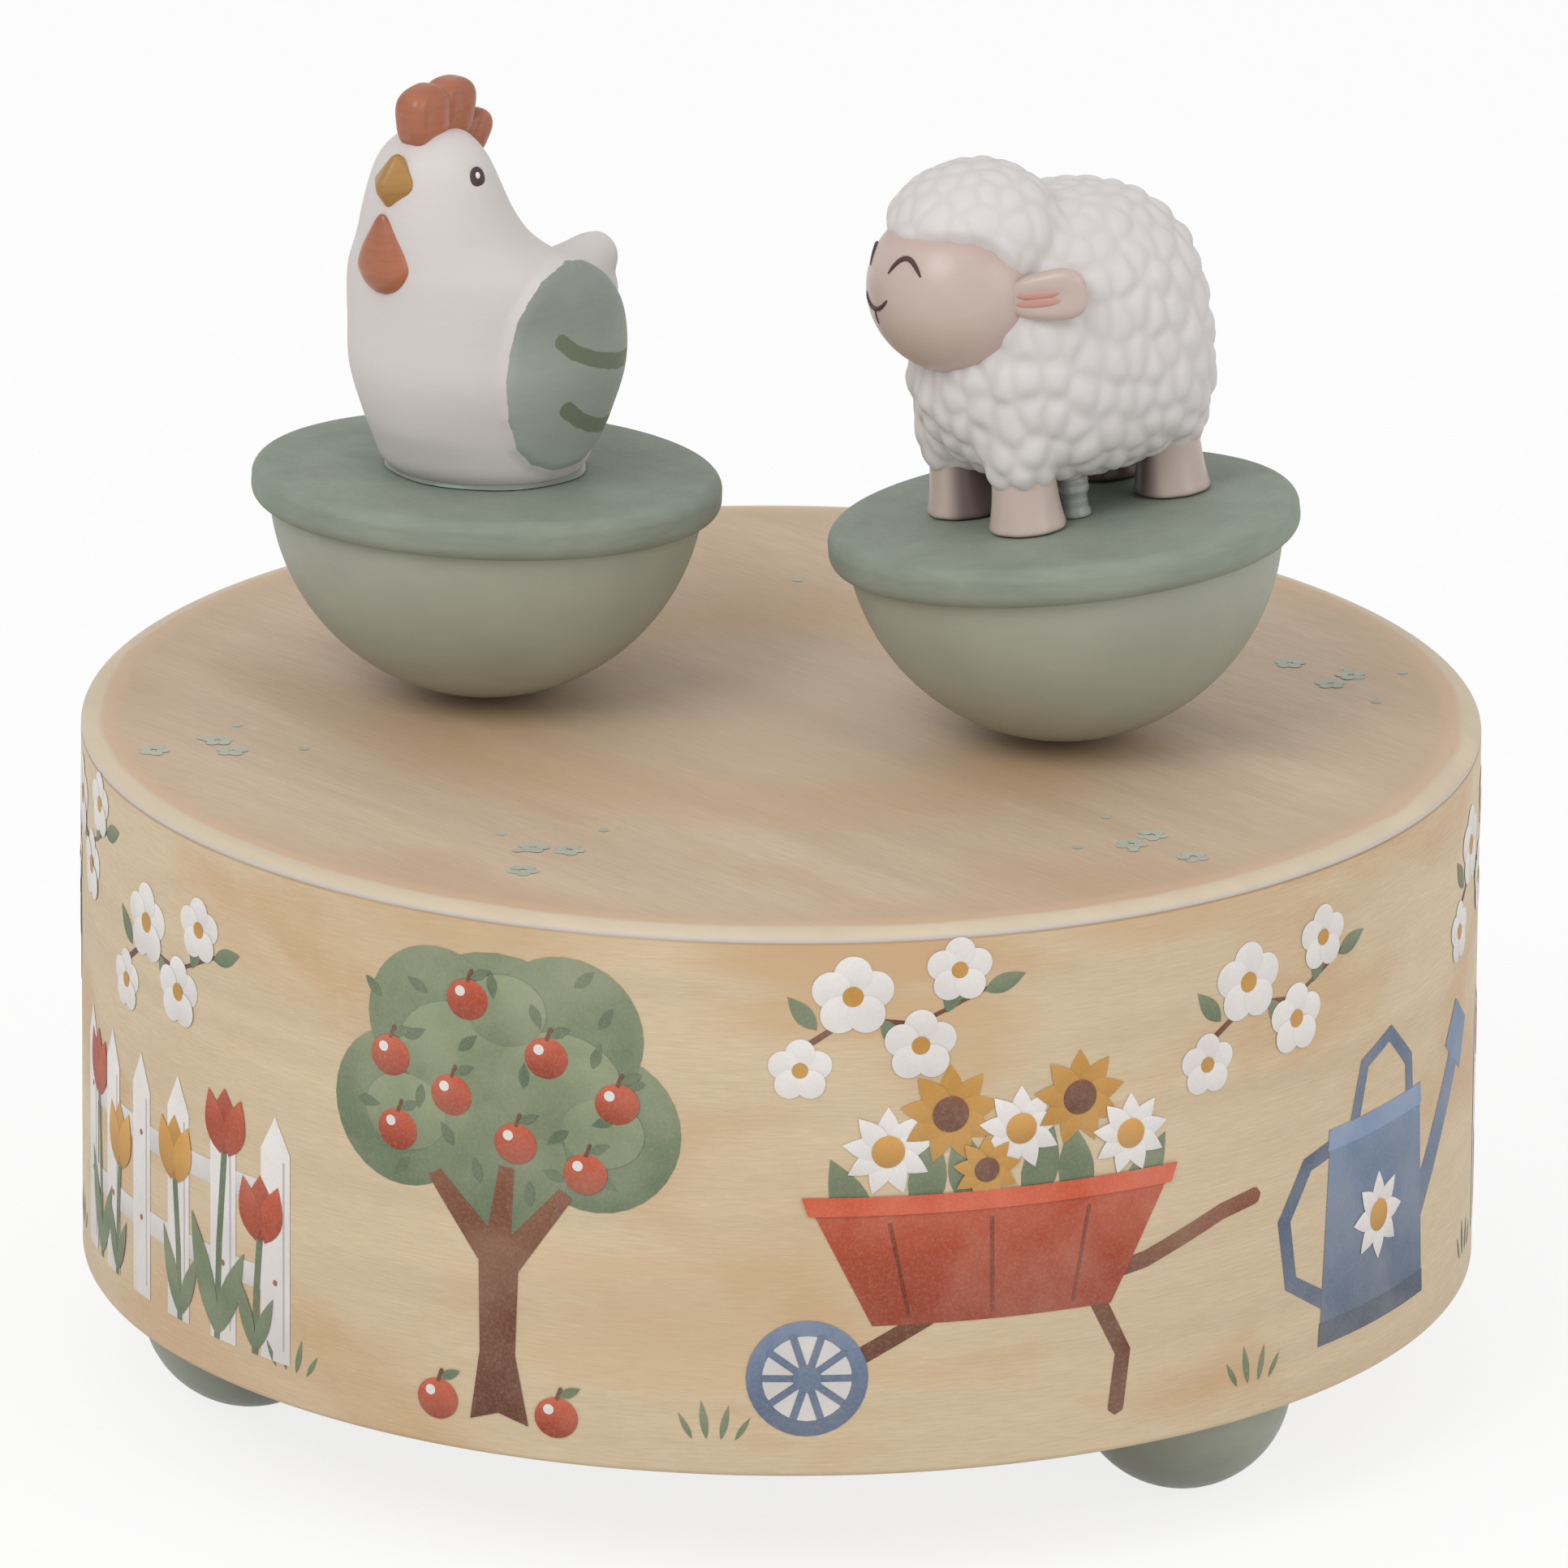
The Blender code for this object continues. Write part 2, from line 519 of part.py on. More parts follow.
def build_bed(steel, brass):
    """Bedplate with its screws, spring barrel and mainspring."""
    holes = [circle(ARBOR_RADIUS + FIT_GAP, SMALL_SIDES)]
    for index, place in enumerate(MOVEMENT_SCREW_PLACES):
        holes.append(circle(MOVEMENT_SCREW[2] + PRESS_GAP, SMALL_SIDES, place))
        screw(f"movement_screw_{index + 1}", MOVEMENT_SCREW, steel, (*place, DRUM_BOTTOM), head_up=False)
    for place in (bracket_screw_places() + comb_base_screw_places()):
        holes.append(circle(SMALL_SCREW[2] + PRESS_GAP, SMALL_SIDES, place))
    plate("bedplate", rounded_rectangle(BEDPLATE_LOW, BEDPLATE_HIGH, BEDPLATE_CORNER), BEDPLATE_THICKNESS,
          steel, place=(0.0, 0.0, BED_LOW), holes=holes)
    inside = BARREL_RADIUS - BARREL_WALL
    floor = BARREL_LOW + BARREL_WALL
    bore = ARBOR_RADIUS + FIT_GAP
    turned("spring_barrel", [
        (bore, BARREL_LOW), (BARREL_RADIUS, BARREL_LOW), (BARREL_RADIUS, BARREL_TOP), (inside, BARREL_TOP),
        (inside, floor), (bore, floor),
    ], brass, FINE_SIDES)
    steps = MAINSPRING_TURNS * MAINSPRING_STEPS_PER_TURN
    inner = []
    outer = []
    for index in range(steps + 1):
        share = index / steps
        angle = 2 * math.pi * MAINSPRING_TURNS * share
        radius = MAINSPRING_INNER_RADIUS + (MAINSPRING_OUTER_RADIUS - MAINSPRING_INNER_RADIUS) * share
        inner.append((radius * math.cos(angle), radius * math.sin(angle)))
        outer.append(((radius + MAINSPRING_STRIP) * math.cos(angle), (radius + MAINSPRING_STRIP) * math.sin(angle)))
    plate("mainspring", inner + outer[::-1], MAINSPRING_HEIGHT, steel, place=(0.0, 0.0, floor + SEAT_GAP))


def build_drive(steel, brass, magnet_metal):
    """Key, arbor, crown wheel and rotor: all that turns with the arbor."""
    axis = empty("drive_axis", (0.0, 0.0, 0.0))
    neck = ROTOR_LOW - SEAT_GAP
    turned("arbor", [
        (0.0, ARBOR_LOW), (ARBOR_RADIUS, ARBOR_LOW), (ARBOR_RADIUS, neck), (ARBOR_NECK_RADIUS, neck),
        (ARBOR_NECK_RADIUS, neck + ARBOR_NECK_LENGTH), (0.0, neck + ARBOR_NECK_LENGTH),
    ], steel, SMALL_SIDES, axis)
    build_key(brass, axis)
    build_crown(brass, axis)

    ends = []
    for place in (HEN_PLACE, SHEEP_PLACE):
        ends.append((math.hypot(*place), math.atan2(place[1], place[0])))
    outline = rotor_outline(ends)
    plate("rotor_arm", outline, ROTOR_THICKNESS, brass, place=(0.0, 0.0, ROTOR_LOW),
          holes=[circle(ARBOR_NECK_RADIUS + PRESS_GAP, SMALL_SIDES)], parent=axis)
    for name, place in (("hen", HEN_PLACE), ("sheep", SHEEP_PLACE)):
        low = ROTOR_TOP + SEAT_GAP
        turned(f"rotor_magnet_{name}", disc_profile(ROTOR_MAGNET_RADIUS, low, ROTOR_MAGNET_TOP), magnet_metal,
               ROUND_SIDES, axis, place=(*place, 0.0))


def disc_profile(radius, low, high):
    return [(0.0, low), (radius, low), (radius, high), (0.0, high)]


def rotor_outline(ends):
    """A bar with a round pad at each end. Each end is given as radius and angle."""
    half = math.asin(ROTOR_WIDTH / 2 / ROTOR_END_RADIUS)
    points = []
    for radius, angle in ends:
        centre = (radius * math.cos(angle), radius * math.sin(angle))
        points += arc(centre, ROTOR_END_RADIUS, angle - math.pi + half, angle + math.pi - half, 16)
    return points


def build_key(brass, axis):
    """A butterfly key: a flat bar with two finger holes, and a hub that screws on the arbor."""
    end = KEY_WING_HEIGHT / 2
    middle = KEY_LOW + end
    reach = KEY_SPAN / 2 - end
    quarter = math.pi / 2
    outline = arc((reach, middle), end, -quarter, quarter, 8)
    outline += arc((-reach, middle), end, quarter, 3 * quarter, 8)
    holes = [circle(KEY_HOLE_RADIUS, SMALL_SIDES, (side * reach, middle)) for side in (-1, 1)]
    key = plate("winding_key", outline, KEY_THICKNESS, brass, place=(0.0, KEY_THICKNESS / 2, 0.0),
                plane=FACING_Y, holes=holes, parent=axis)
    low = KEY_LOW + KEY_HUB_LIFT
    boolean(key, turned("key_hub", disc_profile(KEY_HUB_RADIUS, low, low + KEY_HUB_HEIGHT), brass,
                        SMALL_SIDES, axis), "UNION")
    bore = ARBOR_RADIUS + PRESS_GAP
    boolean(key, turned("key_bore", disc_profile(bore, ARBOR_LOW - SEAT_GAP, DRUM_BOTTOM), brass, SMALL_SIDES,
                        axis))


def build_crown(brass, axis):
    """A disc whose teeth stand up from its rim."""
    bm = bmesh.new()
    inner = CROWN_PITCH_RADIUS - CROWN_TOOTH_WIDTH / 2
    outer = CROWN_PITCH_RADIUS + CROWN_TOOTH_WIDTH / 2
    bore = ARBOR_RADIUS + PRESS_GAP
    profile = [(bore, CROWN_LOW), (outer, CROWN_LOW), (outer, CROWN_TOP), (inner, CROWN_TOP), (bore, CROWN_TOP)]
    verts = [bm.verts.new((radius, 0.0, height)) for radius, height in profile]
    edges = [bm.edges.new((verts[index - 1], verts[index])) for index in range(len(verts))]
    half_step = math.pi / CROWN_TEETH / 2
    bmesh.ops.rotate(bm, verts=verts, matrix=Matrix.Rotation(-half_step, 3, "Z"))
    bmesh.ops.spin(
        bm, geom=verts + edges, cent=(0, 0, 0), axis=(0, 0, 1), angle=2 * math.pi, steps=2 * CROWN_TEETH,
        use_merge=True,
    )
    bmesh.ops.recalc_face_normals(bm, faces=bm.faces)
    teeth = []
    for face in bm.faces:
        middle = face.calc_center_median()
        step = round(math.atan2(middle.y, middle.x) / (math.pi / CROWN_TEETH))
        on_rim = face.normal.z > 0.5 and math.hypot(middle.x, middle.y) > inner
        if on_rim and step % 2 == 0:
            teeth.append(face)
    raised = bmesh.ops.extrude_discrete_faces(bm, faces=teeth)["faces"]
    narrow = TOOTH_TIP_SHARE / TOOTH_ROOT_SHARE
    for face in raised:
        middle = face.calc_center_median()
        along = Vector((middle.x, middle.y, 0.0)).normalized()
        for vert in face.verts:
            offset = vert.co - middle
            radial = along * offset.dot(along)
            vert.co = middle + radial + (offset - radial) * narrow + Vector((0.0, 0.0, CROWN_TOOTH_HEIGHT))
    finish("crown_wheel", bm, brass, axis)


def build_cylinder(steel, brass):
    """Pinned cylinder on its shaft, with the pinion over the crown wheel and the governor's wheel."""
    axis = empty("cylinder_axis", (0.0, 0.0, CYLINDER_Z))
    pinion_x = CROWN_PITCH_RADIUS - PINION_WIDTH / 2
    shaft_low = pinion_x - SHAFT_END_ROOM
    shaft_high = OUTER_BRACKET_X + BRACKET_THICKNESS + SEAT_GAP
    turned("cylinder_shaft", disc_profile(SHAFT_RADIUS, shaft_low, shaft_high), steel, SMALL_SIDES,
           axis, "X")
    bore = circle(SHAFT_RADIUS + PRESS_GAP, SMALL_SIDES)
    # A gap faces the crown wheel's first tooth, straight below
    half_pitch = math.pi / PINION_TEETH
    plate("cylinder_pinion", gear_outline(PINION_TEETH, PINION_PITCH_RADIUS, PINION_ADDENDUM, PINION_DEDENDUM,
          -math.pi / 2 + half_pitch), PINION_WIDTH, brass, place=(pinion_x, 0.0, 0.0), plane=FACING_X,
          holes=[bore], parent=axis)
    plate("cylinder_wheel", gear_outline(WHEEL_TEETH, WHEEL_PITCH_RADIUS, WHEEL_ADDENDUM, WHEEL_DEDENDUM,
          governor_direction()), WHEEL_WIDTH, brass, place=(WHEEL_LOW_X, 0.0, 0.0), plane=FACING_X,
          holes=[bore], parent=axis)
    build_pin_cylinder(brass, axis)


def governor_direction():
    """Angle, in the Y-Z plane, from the cylinder's shaft to the governor's shaft."""
    return math.atan2(GOVERNOR_Z - CYLINDER_Z, GOVERNOR_Y)


def build_pin_cylinder(brass, axis):
    """The tune: one ring of possible pins for each comb tooth, and a pin on some of them."""
    bm = bmesh.new()
    bore = SHAFT_RADIUS + PRESS_GAP
    heights = [CYLINDER_LOW_X + CYLINDER_LENGTH * index / TRACKS for index in range(TRACKS + 1)]
    profile = [(bore, heights[0])]
    profile += [(CYLINDER_RADIUS, height) for height in heights]
    profile += [(bore, heights[-1])]
    verts = [bm.verts.new((radius, 0.0, height)) for radius, height in profile]
    edges = [bm.edges.new((verts[index - 1], verts[index])) for index in range(len(verts))]
    bmesh.ops.spin(
        bm, geom=verts + edges, cent=(0, 0, 0), axis=(0, 0, 1), angle=2 * math.pi, steps=CYLINDER_STEPS,
        use_merge=True,
    )
    bmesh.ops.recalc_face_normals(bm, faces=bm.faces)
    pins = []
    for face in bm.faces:
        middle = face.calc_center_median()
        if abs(face.normal.z) > 0.5 or math.hypot(middle.x, middle.y) < CYLINDER_RADIUS / 2:
            continue
        track = int((middle.z - CYLINDER_LOW_X) / CYLINDER_LENGTH * TRACKS)
        step = int(math.atan2(middle.y, middle.x) % (2 * math.pi) / (2 * math.pi) * CYLINDER_STEPS)
        # A fixed rule that scatters the pins like the notes of a tune
        if (step * 7 + track * 5 + track * track) % 11 == 0:
            pins.append(face)
    bmesh.ops.inset_individual(bm, faces=pins, thickness=PIN_HALF_WIDTH / 2)
    shrink_faces(pins, PIN_HALF_WIDTH, 0.0)
    raised = bmesh.ops.extrude_discrete_faces(bm, faces=pins)["faces"]
    shrink_faces(raised, PIN_HALF_WIDTH * PIN_TIP_SHARE, PIN_HEIGHT)
    bmesh.ops.rotate(bm, verts=bm.verts, matrix=Matrix.Rotation(math.pi / 2, 3, "Y"))
    finish("pin_cylinder", bm, brass, axis)


def shrink_faces(faces, half_width, rise):
    """Make each face a square of its own half width, raised away from the Z axis."""
    for face in faces:
        middle = face.calc_center_median()
        outward = Vector((middle.x, middle.y, 0.0)).normalized()
        across = Vector((-outward.y, outward.x, 0.0))
        for vert in face.verts:
            offset = vert.co - middle
            up = math.copysign(half_width, offset.z)
            aside = math.copysign(half_width, offset.dot(across))
            vert.co = middle + Vector((0.0, 0.0, up)) + across * aside + outward * rise


def bracket_screw_places():
    middle = BRACKET_THICKNESS + (BRACKET_FOOT_LENGTH - BRACKET_THICKNESS) / 2
    return [(INNER_BRACKET_X + middle, 0.0), (OUTER_BRACKET_X + BRACKET_THICKNESS - middle, 0.0)]


def comb_row():
    """The comb's extent along X, and its tips, roots and back along Y."""
    low = CYLINDER_LOW_X
    tips = -(CYLINDER_RADIUS + PIN_HEIGHT + COMB_PIN_GAP)
    roots = tips - COMB_TOOTH_LENGTH
    return low, low + CYLINDER_LENGTH, tips, roots, roots - COMB_ROOT_DEPTH


def comb_base_screw_places():
    low, high, _, roots, _ = comb_row()
    row = roots - COMB_SCREW_INSET
    return [(low + COMB_BASE_SCREW_INSET, row), (high - COMB_BASE_SCREW_INSET, row)]


def build_brackets(steel):
    """Two angle brackets with the cylinder's bearings; the outer one also carries the governor's shaft."""
    top = CYLINDER_Z + BRACKET_MARGIN
    bearing = SHAFT_RADIUS + FIT_GAP
    foot_top = BED_TOP + SEAT_GAP + BRACKET_THICKNESS
    low = BED_TOP + SEAT_GAP
    for name, x, direction, y_low, y_high in (
        ("inner_bracket", INNER_BRACKET_X, 1, -BRACKET_MARGIN, BRACKET_MARGIN),
        ("outer_bracket", OUTER_BRACKET_X + BRACKET_THICKNESS, -1, -BRACKET_MARGIN, GOVERNOR_Y + BRACKET_MARGIN),
    ):
        side = x + direction * BRACKET_THICKNESS
        toe = x + direction * BRACKET_FOOT_LENGTH
        outline = [(x, low), (toe, low), (toe, foot_top), (side, foot_top), (side, top), (x, top)]
        bracket = plate(name, outline, y_high - y_low, steel, place=(0.0, y_high, 0.0), plane=FACING_Y)
        holes = [(0.0, CYLINDER_Z)]
        if direction < 0:
            holes.append((GOVERNOR_Y, GOVERNOR_Z))
        for index, (y, z) in enumerate(holes):
            reach = BRACKET_THICKNESS / 2 + OVERRUN
            boolean(bracket, turned(f"{name}_drill_{index + 1}", disc_profile(bearing, -reach, reach), steel,
                                    SMALL_SIDES, axis="X", place=((x + side) / 2, y, z)))
    for index, place in enumerate(bracket_screw_places()):
        name = ("inner_bracket", "outer_bracket")[index]
        drill = SMALL_SCREW[2] + PRESS_GAP
        hole = disc_profile(drill, BED_TOP - OVERRUN, foot_top + OVERRUN)
        boolean(bpy.data.objects[name], turned(f"{name}_screw_drill", hole, steel, SMALL_SIDES,
                                               place=(*place, 0.0)))
        screw(f"bracket_screw_{index + 1}", SMALL_SCREW, steel, (*place, foot_top))


def build_comb(steel, brass):
    """Tuned steel comb on a flanged base, one tooth for each track."""
    low, high, tips, roots, back = comb_row()
    pitch = CYLINDER_LENGTH / TRACKS
    half_tooth = pitch * COMB_TOOTH_SHARE / 2
    outline = [(low - COMB_SIDE_MARGIN, back), (high + COMB_SIDE_MARGIN, back), (high + COMB_SIDE_MARGIN, roots)]
    for index in reversed(range(TRACKS)):
        middle = low + pitch * (index + 1 / 2)
        outline += [(middle + half_tooth, roots), (middle + half_tooth, tips)]
        outline += [(middle - half_tooth, tips), (middle - half_tooth, roots)]
    outline.append((low - COMB_SIDE_MARGIN, roots))
    comb_low = CYLINDER_Z - COMB_THICKNESS / 2
    screw_row = roots - COMB_SCREW_INSET
    places = [(low + COMB_SCREW_INSET, screw_row), (high - COMB_SCREW_INSET, screw_row)]
    drill = SMALL_SCREW[2] + PRESS_GAP
    plate("comb", outline, COMB_THICKNESS, steel, place=(0.0, 0.0, comb_low),
          holes=[circle(drill, SMALL_SIDES, place) for place in places])
    for index, place in enumerate(places):
        screw(f"comb_screw_{index + 1}", SMALL_SCREW, steel, (*place, comb_low + COMB_THICKNESS))

    base_top = comb_low - SEAT_GAP
    base_low = BED_TOP + SEAT_GAP
    front = roots - SEAT_GAP
    outline = [
        (back, base_low), (back + COMB_BASE_FOOT, base_low), (back + COMB_BASE_FOOT, base_low + COMB_BASE_FLANGE),
        (back + COMB_BASE_WEB, base_low + COMB_BASE_FLANGE), (back + COMB_BASE_WEB, base_top - COMB_BASE_FLANGE),
        (front, base_top - COMB_BASE_FLANGE), (front, base_top), (back, base_top),
    ]
    width = high - low
    base = plate("comb_base", outline, width, brass, place=(low, 0.0, 0.0), plane=FACING_X)
    for index, place in enumerate(places):
        drill_low = base_top - COMB_BASE_FLANGE - OVERRUN
        boolean(base, turned(f"comb_drill_{index + 1}", disc_profile(drill, drill_low, base_top + OVERRUN),
                             steel, SMALL_SIDES, place=(*place, 0.0)))
    for index, place in enumerate(comb_base_screw_places()):
        foot_top = base_low + COMB_BASE_FLANGE
        hole = disc_profile(drill, base_low - OVERRUN, foot_top + OVERRUN)
        boolean(base, turned(f"comb_base_drill_{index + 1}", hole, steel, SMALL_SIDES, place=(*place, 0.0)))
        screw(f"comb_base_screw_{index + 1}", SMALL_SCREW, steel, (*place, foot_top))


def build_governor(steel, brass):
    """Governor shaft with pinion and worm wheel, worm shaft with the air brake, and their frame."""
    axis = empty("governor_axis", (0.0, GOVERNOR_Y, GOVERNOR_Z))
    pinion_x = WHEEL_LOW_X + WHEEL_WIDTH / 2 - GOVERNOR_PINION_WIDTH / 2
    shaft_high = WORM_WHEEL_X + WORM_WHEEL_WIDTH + SEAT_GAP
    turned("governor_shaft", disc_profile(SHAFT_RADIUS, pinion_x - SEAT_GAP, shaft_high), steel,
           SMALL_SIDES, axis, "X")
    bore = circle(SHAFT_RADIUS + PRESS_GAP, SMALL_SIDES)
    towards_cylinder = governor_direction() + math.pi + math.pi / GOVERNOR_PINION_TEETH
    plate("governor_pinion", gear_outline(GOVERNOR_PINION_TEETH, GOVERNOR_PINION_RADIUS, WHEEL_ADDENDUM,
          WHEEL_DEDENDUM, towards_cylinder), GOVERNOR_PINION_WIDTH, brass, place=(pinion_x, 0.0, 0.0),
          plane=FACING_X, holes=[bore], parent=axis)
    plate("worm_wheel", gear_outline(WORM_WHEEL_TEETH, WORM_WHEEL_RADIUS, WORM_WHEEL_ADDENDUM,
          WORM_WHEEL_DEDENDUM, 0.0), WORM_WHEEL_WIDTH, brass, place=(WORM_WHEEL_X, 0.0, 0.0), plane=FACING_X,
          holes=[bore], parent=axis)

    worm_axis = empty("worm_axis", (WORM_X, WORM_Y, 0.0))
    frame_low = BED_TOP + SEAT_GAP
    frame_high = FAN_TOP + FRAME_PIVOT_GAP + FRAME_ARM
    build_worm_shaft(steel, worm_axis, frame_low + SEAT_GAP, frame_high - SEAT_GAP)
    build_fan(brass, worm_axis)

    post = WORM_Y + FAN_RADIUS + FRAME_BACK_GAP
    nose = WORM_Y - FRAME_NOSE
    outline = [
        (nose, frame_low), (post + FRAME_ARM, frame_low), (post + FRAME_ARM, frame_high), (nose, frame_high),
        (nose, frame_high - FRAME_ARM), (post, frame_high - FRAME_ARM), (post, frame_low + FRAME_ARM),
        (nose, frame_low + FRAME_ARM),
    ]
    frame = plate("governor_frame", outline, FRAME_WIDTH, brass, place=(WORM_X - FRAME_WIDTH / 2, 0.0, 0.0),
                  plane=FACING_X)
    pivot = WORM_SHAFT_RADIUS + FIT_GAP
    hole = disc_profile(pivot, frame_low - OVERRUN, frame_high + OVERRUN)
    boolean(frame, turned("frame_drill", hole, steel, SMALL_SIDES, place=(WORM_X, WORM_Y, 0.0)))


def build_worm_shaft(steel, axis, low, high):
    """A thin shaft whose middle carries one helical ridge in mesh with the worm wheel."""
    bm = bmesh.new()
    start = GOVERNOR_Z - WORM_LENGTH / 2
    levels = [low] + [start + WORM_LENGTH * index / WORM_LEVELS for index in range(WORM_LEVELS + 1)] + [high]
    rings = []
    for height in levels:
        ring = []
        for side in range(WORM_SIDES):
            angle = 2 * math.pi * side / WORM_SIDES
            # The ridge passes half a turn from the wheel's first tooth on the side that faces the wheel
            phase = (height - GOVERNOR_Z) / WORM_LEAD - (angle + math.pi / 2) / (2 * math.pi) + 1 / 2
            away = abs(phase - round(phase)) * WORM_LEAD
            rise = max(0.0, 1.0 - away / (WORM_RIDGE_WIDTH / 2))
            if height in (low, high) or height in (levels[1], levels[-2]):
                rise = 0.0
            radius = WORM_SHAFT_RADIUS + (WORM_RADIUS - WORM_SHAFT_RADIUS) * rise
            ring.append(bm.verts.new((radius * math.cos(angle), radius * math.sin(angle), height)))
        rings.append(ring)
    for lower, upper in zip(rings, rings[1:]):
        for side in range(WORM_SIDES):
            bm.faces.new((lower[side - 1], lower[side], upper[side], upper[side - 1]))
    bm.faces.new(rings[0][::-1])
    bm.faces.new(rings[-1])
    bmesh.ops.triangulate(bm, faces=bm.faces)
    finish("worm_shaft", bm, steel, axis)


def build_fan(brass, axis):
    """Two blades on a hub that beat the air and hold the tune's speed."""
    half = math.asin(FAN_BLADE / 2 / FAN_HUB_RADIUS)
    tip = math.sqrt(FAN_RADIUS**2 - (FAN_BLADE / 2)**2)
    outline = [(tip, -FAN_BLADE / 2), (tip, FAN_BLADE / 2)]
    outline += arc((0.0, 0.0), FAN_HUB_RADIUS, half, math.pi - half, 8)
    outline += [(-tip, FAN_BLADE / 2), (-tip, -FAN_BLADE / 2)]
    outline += arc((0.0, 0.0), FAN_HUB_RADIUS, math.pi + half, 2 * math.pi - half, 8)
    plate("fan", outline, FAN_HEIGHT, brass, place=(0.0, 0.0, FAN_LOW),
          holes=[circle(WORM_SHAFT_RADIUS + PRESS_GAP, WORM_SIDES)], parent=axis)


def lean_matrix(lean):
    """Turn that leans an upright axis by small angles towards +X and +Y."""
    towards = Vector((lean[0], lean[1], 0.0))
    return Matrix.Rotation(towards.length, 3, Vector((-towards.y, towards.x, 0.0)))


def build_tumbler(name, place, lean, paint, lid_paint, steel, magnet_metal):
    """A hollow ball bowl on a magnet, with a ring weight and a flat lid. Heights are from the ball's centre."""
    axis = empty(f"{name}_axis", (*place, TUMBLER_Z), lean_matrix(lean))
    hollow = BOWL_RADIUS - BOWL_WALL
    rim = -LID_BELOW_CENTRE - SEAT_GAP
    down = -math.pi / 2
    outside = arc((0.0, 0.0), BOWL_RADIUS, down, math.asin(rim / BOWL_RADIUS), 9)
    inside = arc((0.0, 0.0), hollow, math.asin(rim / hollow), down, 5)
    outside[0] = (0.0, -BOWL_RADIUS)
    inside[-1] = (0.0, -hollow)
    turned(f"{name}_bowl", outside + inside, paint, ROUND_SIDES, axis)

    spigot = math.sqrt(hollow**2 - (LID_BELOW_CENTRE + LID_SPIGOT_DEPTH)**2) - FIT_GAP
    edge = LID_EDGE_RADIUS
    quarter = math.pi / 2
    turned(f"{name}_lid", [
        (0.0, -LID_BELOW_CENTRE - LID_SPIGOT_DEPTH), (spigot, -LID_BELOW_CENTRE - LID_SPIGOT_DEPTH),
        (spigot, -LID_BELOW_CENTRE), *arc((LID_RADIUS - edge, -LID_BELOW_CENTRE + edge), edge, -quarter, 0.0, 2),
        *arc((LID_RADIUS - edge, LID_ABOVE_CENTRE - edge), edge, 0.0, quarter, 2), (0.0, LID_ABOVE_CENTRE),
    ], lid_paint, FINE_SIDES, axis)

    outer = hollow - FIT_GAP
    inner = outer - WEIGHT_WIDTH
    low_angle = -math.acos(inner / outer)
    top = -LID_BELOW_CENTRE - LID_SPIGOT_DEPTH - WEIGHT_BELOW_LID
    turned(f"{name}_weight", [
        *arc((0.0, 0.0), outer, low_angle, math.asin(top / outer), 3), (inner, top),
    ], steel, ROUND_SIDES, axis)

    # The magnet stays level at the bottom of the bowl
    low = -math.sqrt((hollow - FIT_GAP)**2 - TUMBLER_MAGNET_RADIUS**2)
    turned(f"{name}_magnet", disc_profile(TUMBLER_MAGNET_RADIUS, low, low + TUMBLER_MAGNET_HEIGHT), magnet_metal,
           ROUND_SIDES, place=(*place, TUMBLER_Z))
    return axis


def figure_axis(name, parent, heading, shift):
    """A figure's own frame on its lid: +X forward, +Y to its left, +Z up from the lid."""
    forward = -math.pi / 2 - heading
    across = Vector((-math.sin(forward), math.cos(forward), 0.0)) * shift
    axis = empty(name, (across.x, across.y, FIGURE_FLOOR), Matrix.Rotation(forward, 3, "Z"))
    axis.parent = parent
    return axis


def build_hen(tumbler, white, comb_paint, beak_paint):
    """The hen as one casting: body with neck and head, tail, comb, beak and wattle."""
    axis = figure_axis("hen_frame", tumbler, HEN_HEADING, 0.0)
    bm = bmesh.new()
    rings = []
    for height, forward, length, width in HEN_OUTLINE_SHARES:
        ring = []
        for side in range(HEN_BODY_SIDES):
            angle = 2 * math.pi * side / HEN_BODY_SIDES
            ring.append(bm.verts.new((
                forward * HEN_HEAD_FORWARD + length * HEN_HALF_LENGTH * math.cos(angle),
                width * HEN_HALF_WIDTH * math.sin(angle),
                height * HEN_HEIGHT,
            )))
        rings.append(ring)
    for lower, upper in zip(rings, rings[1:]):
        for side in range(HEN_BODY_SIDES):
            bm.faces.new((lower[side - 1], lower[side], upper[side], upper[side - 1]))
    bm.faces.new(rings[0][::-1])
    bm.faces.new(rings[-1])
    bmesh.ops.triangulate(bm, faces=[face for face in bm.faces if len(face.verts) > 4])
    hen = finish("hen_figure", bm, white, axis)

    tail_root = hen_place(TAIL_ROOT_SHARES, 0.0)
    tail_tip = hen_place(TAIL_TIP_SHARES, 0.0)
    boolean(hen, tapered("hen_tail", tail_root, TAIL_ROOT_RADIUS, tail_tip, TAIL_TIP_RADIUS, white, axis), "UNION")
    for index, (shares, half) in enumerate(zip(HEN_COMB_SHARES, HEN_COMB_HALF)):
        place = hen_place(shares, HEN_HEAD_FORWARD)
        lobe = ball(f"hen_comb_{index + 1}", half, comb_paint, place, axis, sides=SMALL_SIDES, rings=8)
        boolean(hen, lobe, "UNION")
    place = hen_place(BEAK_SHARES, HEN_HEAD_FORWARD)
    boolean(hen, ball("hen_beak", BEAK_HALF, beak_paint, place, axis, sides=4, rings=2), "UNION")
    # Half a facet's turn keeps the wattle's corners off the body's middle line
    half_facet = Matrix.Rotation(math.pi / SMALL_SIDES, 3, "Z")
    place = hen_place(WATTLE_SHARES, HEN_HEAD_FORWARD)
    wattle = ball("hen_wattle", WATTLE_HALF, comb_paint, place, axis, half_facet, SMALL_SIDES, 8)
    boolean(hen, wattle, "UNION")


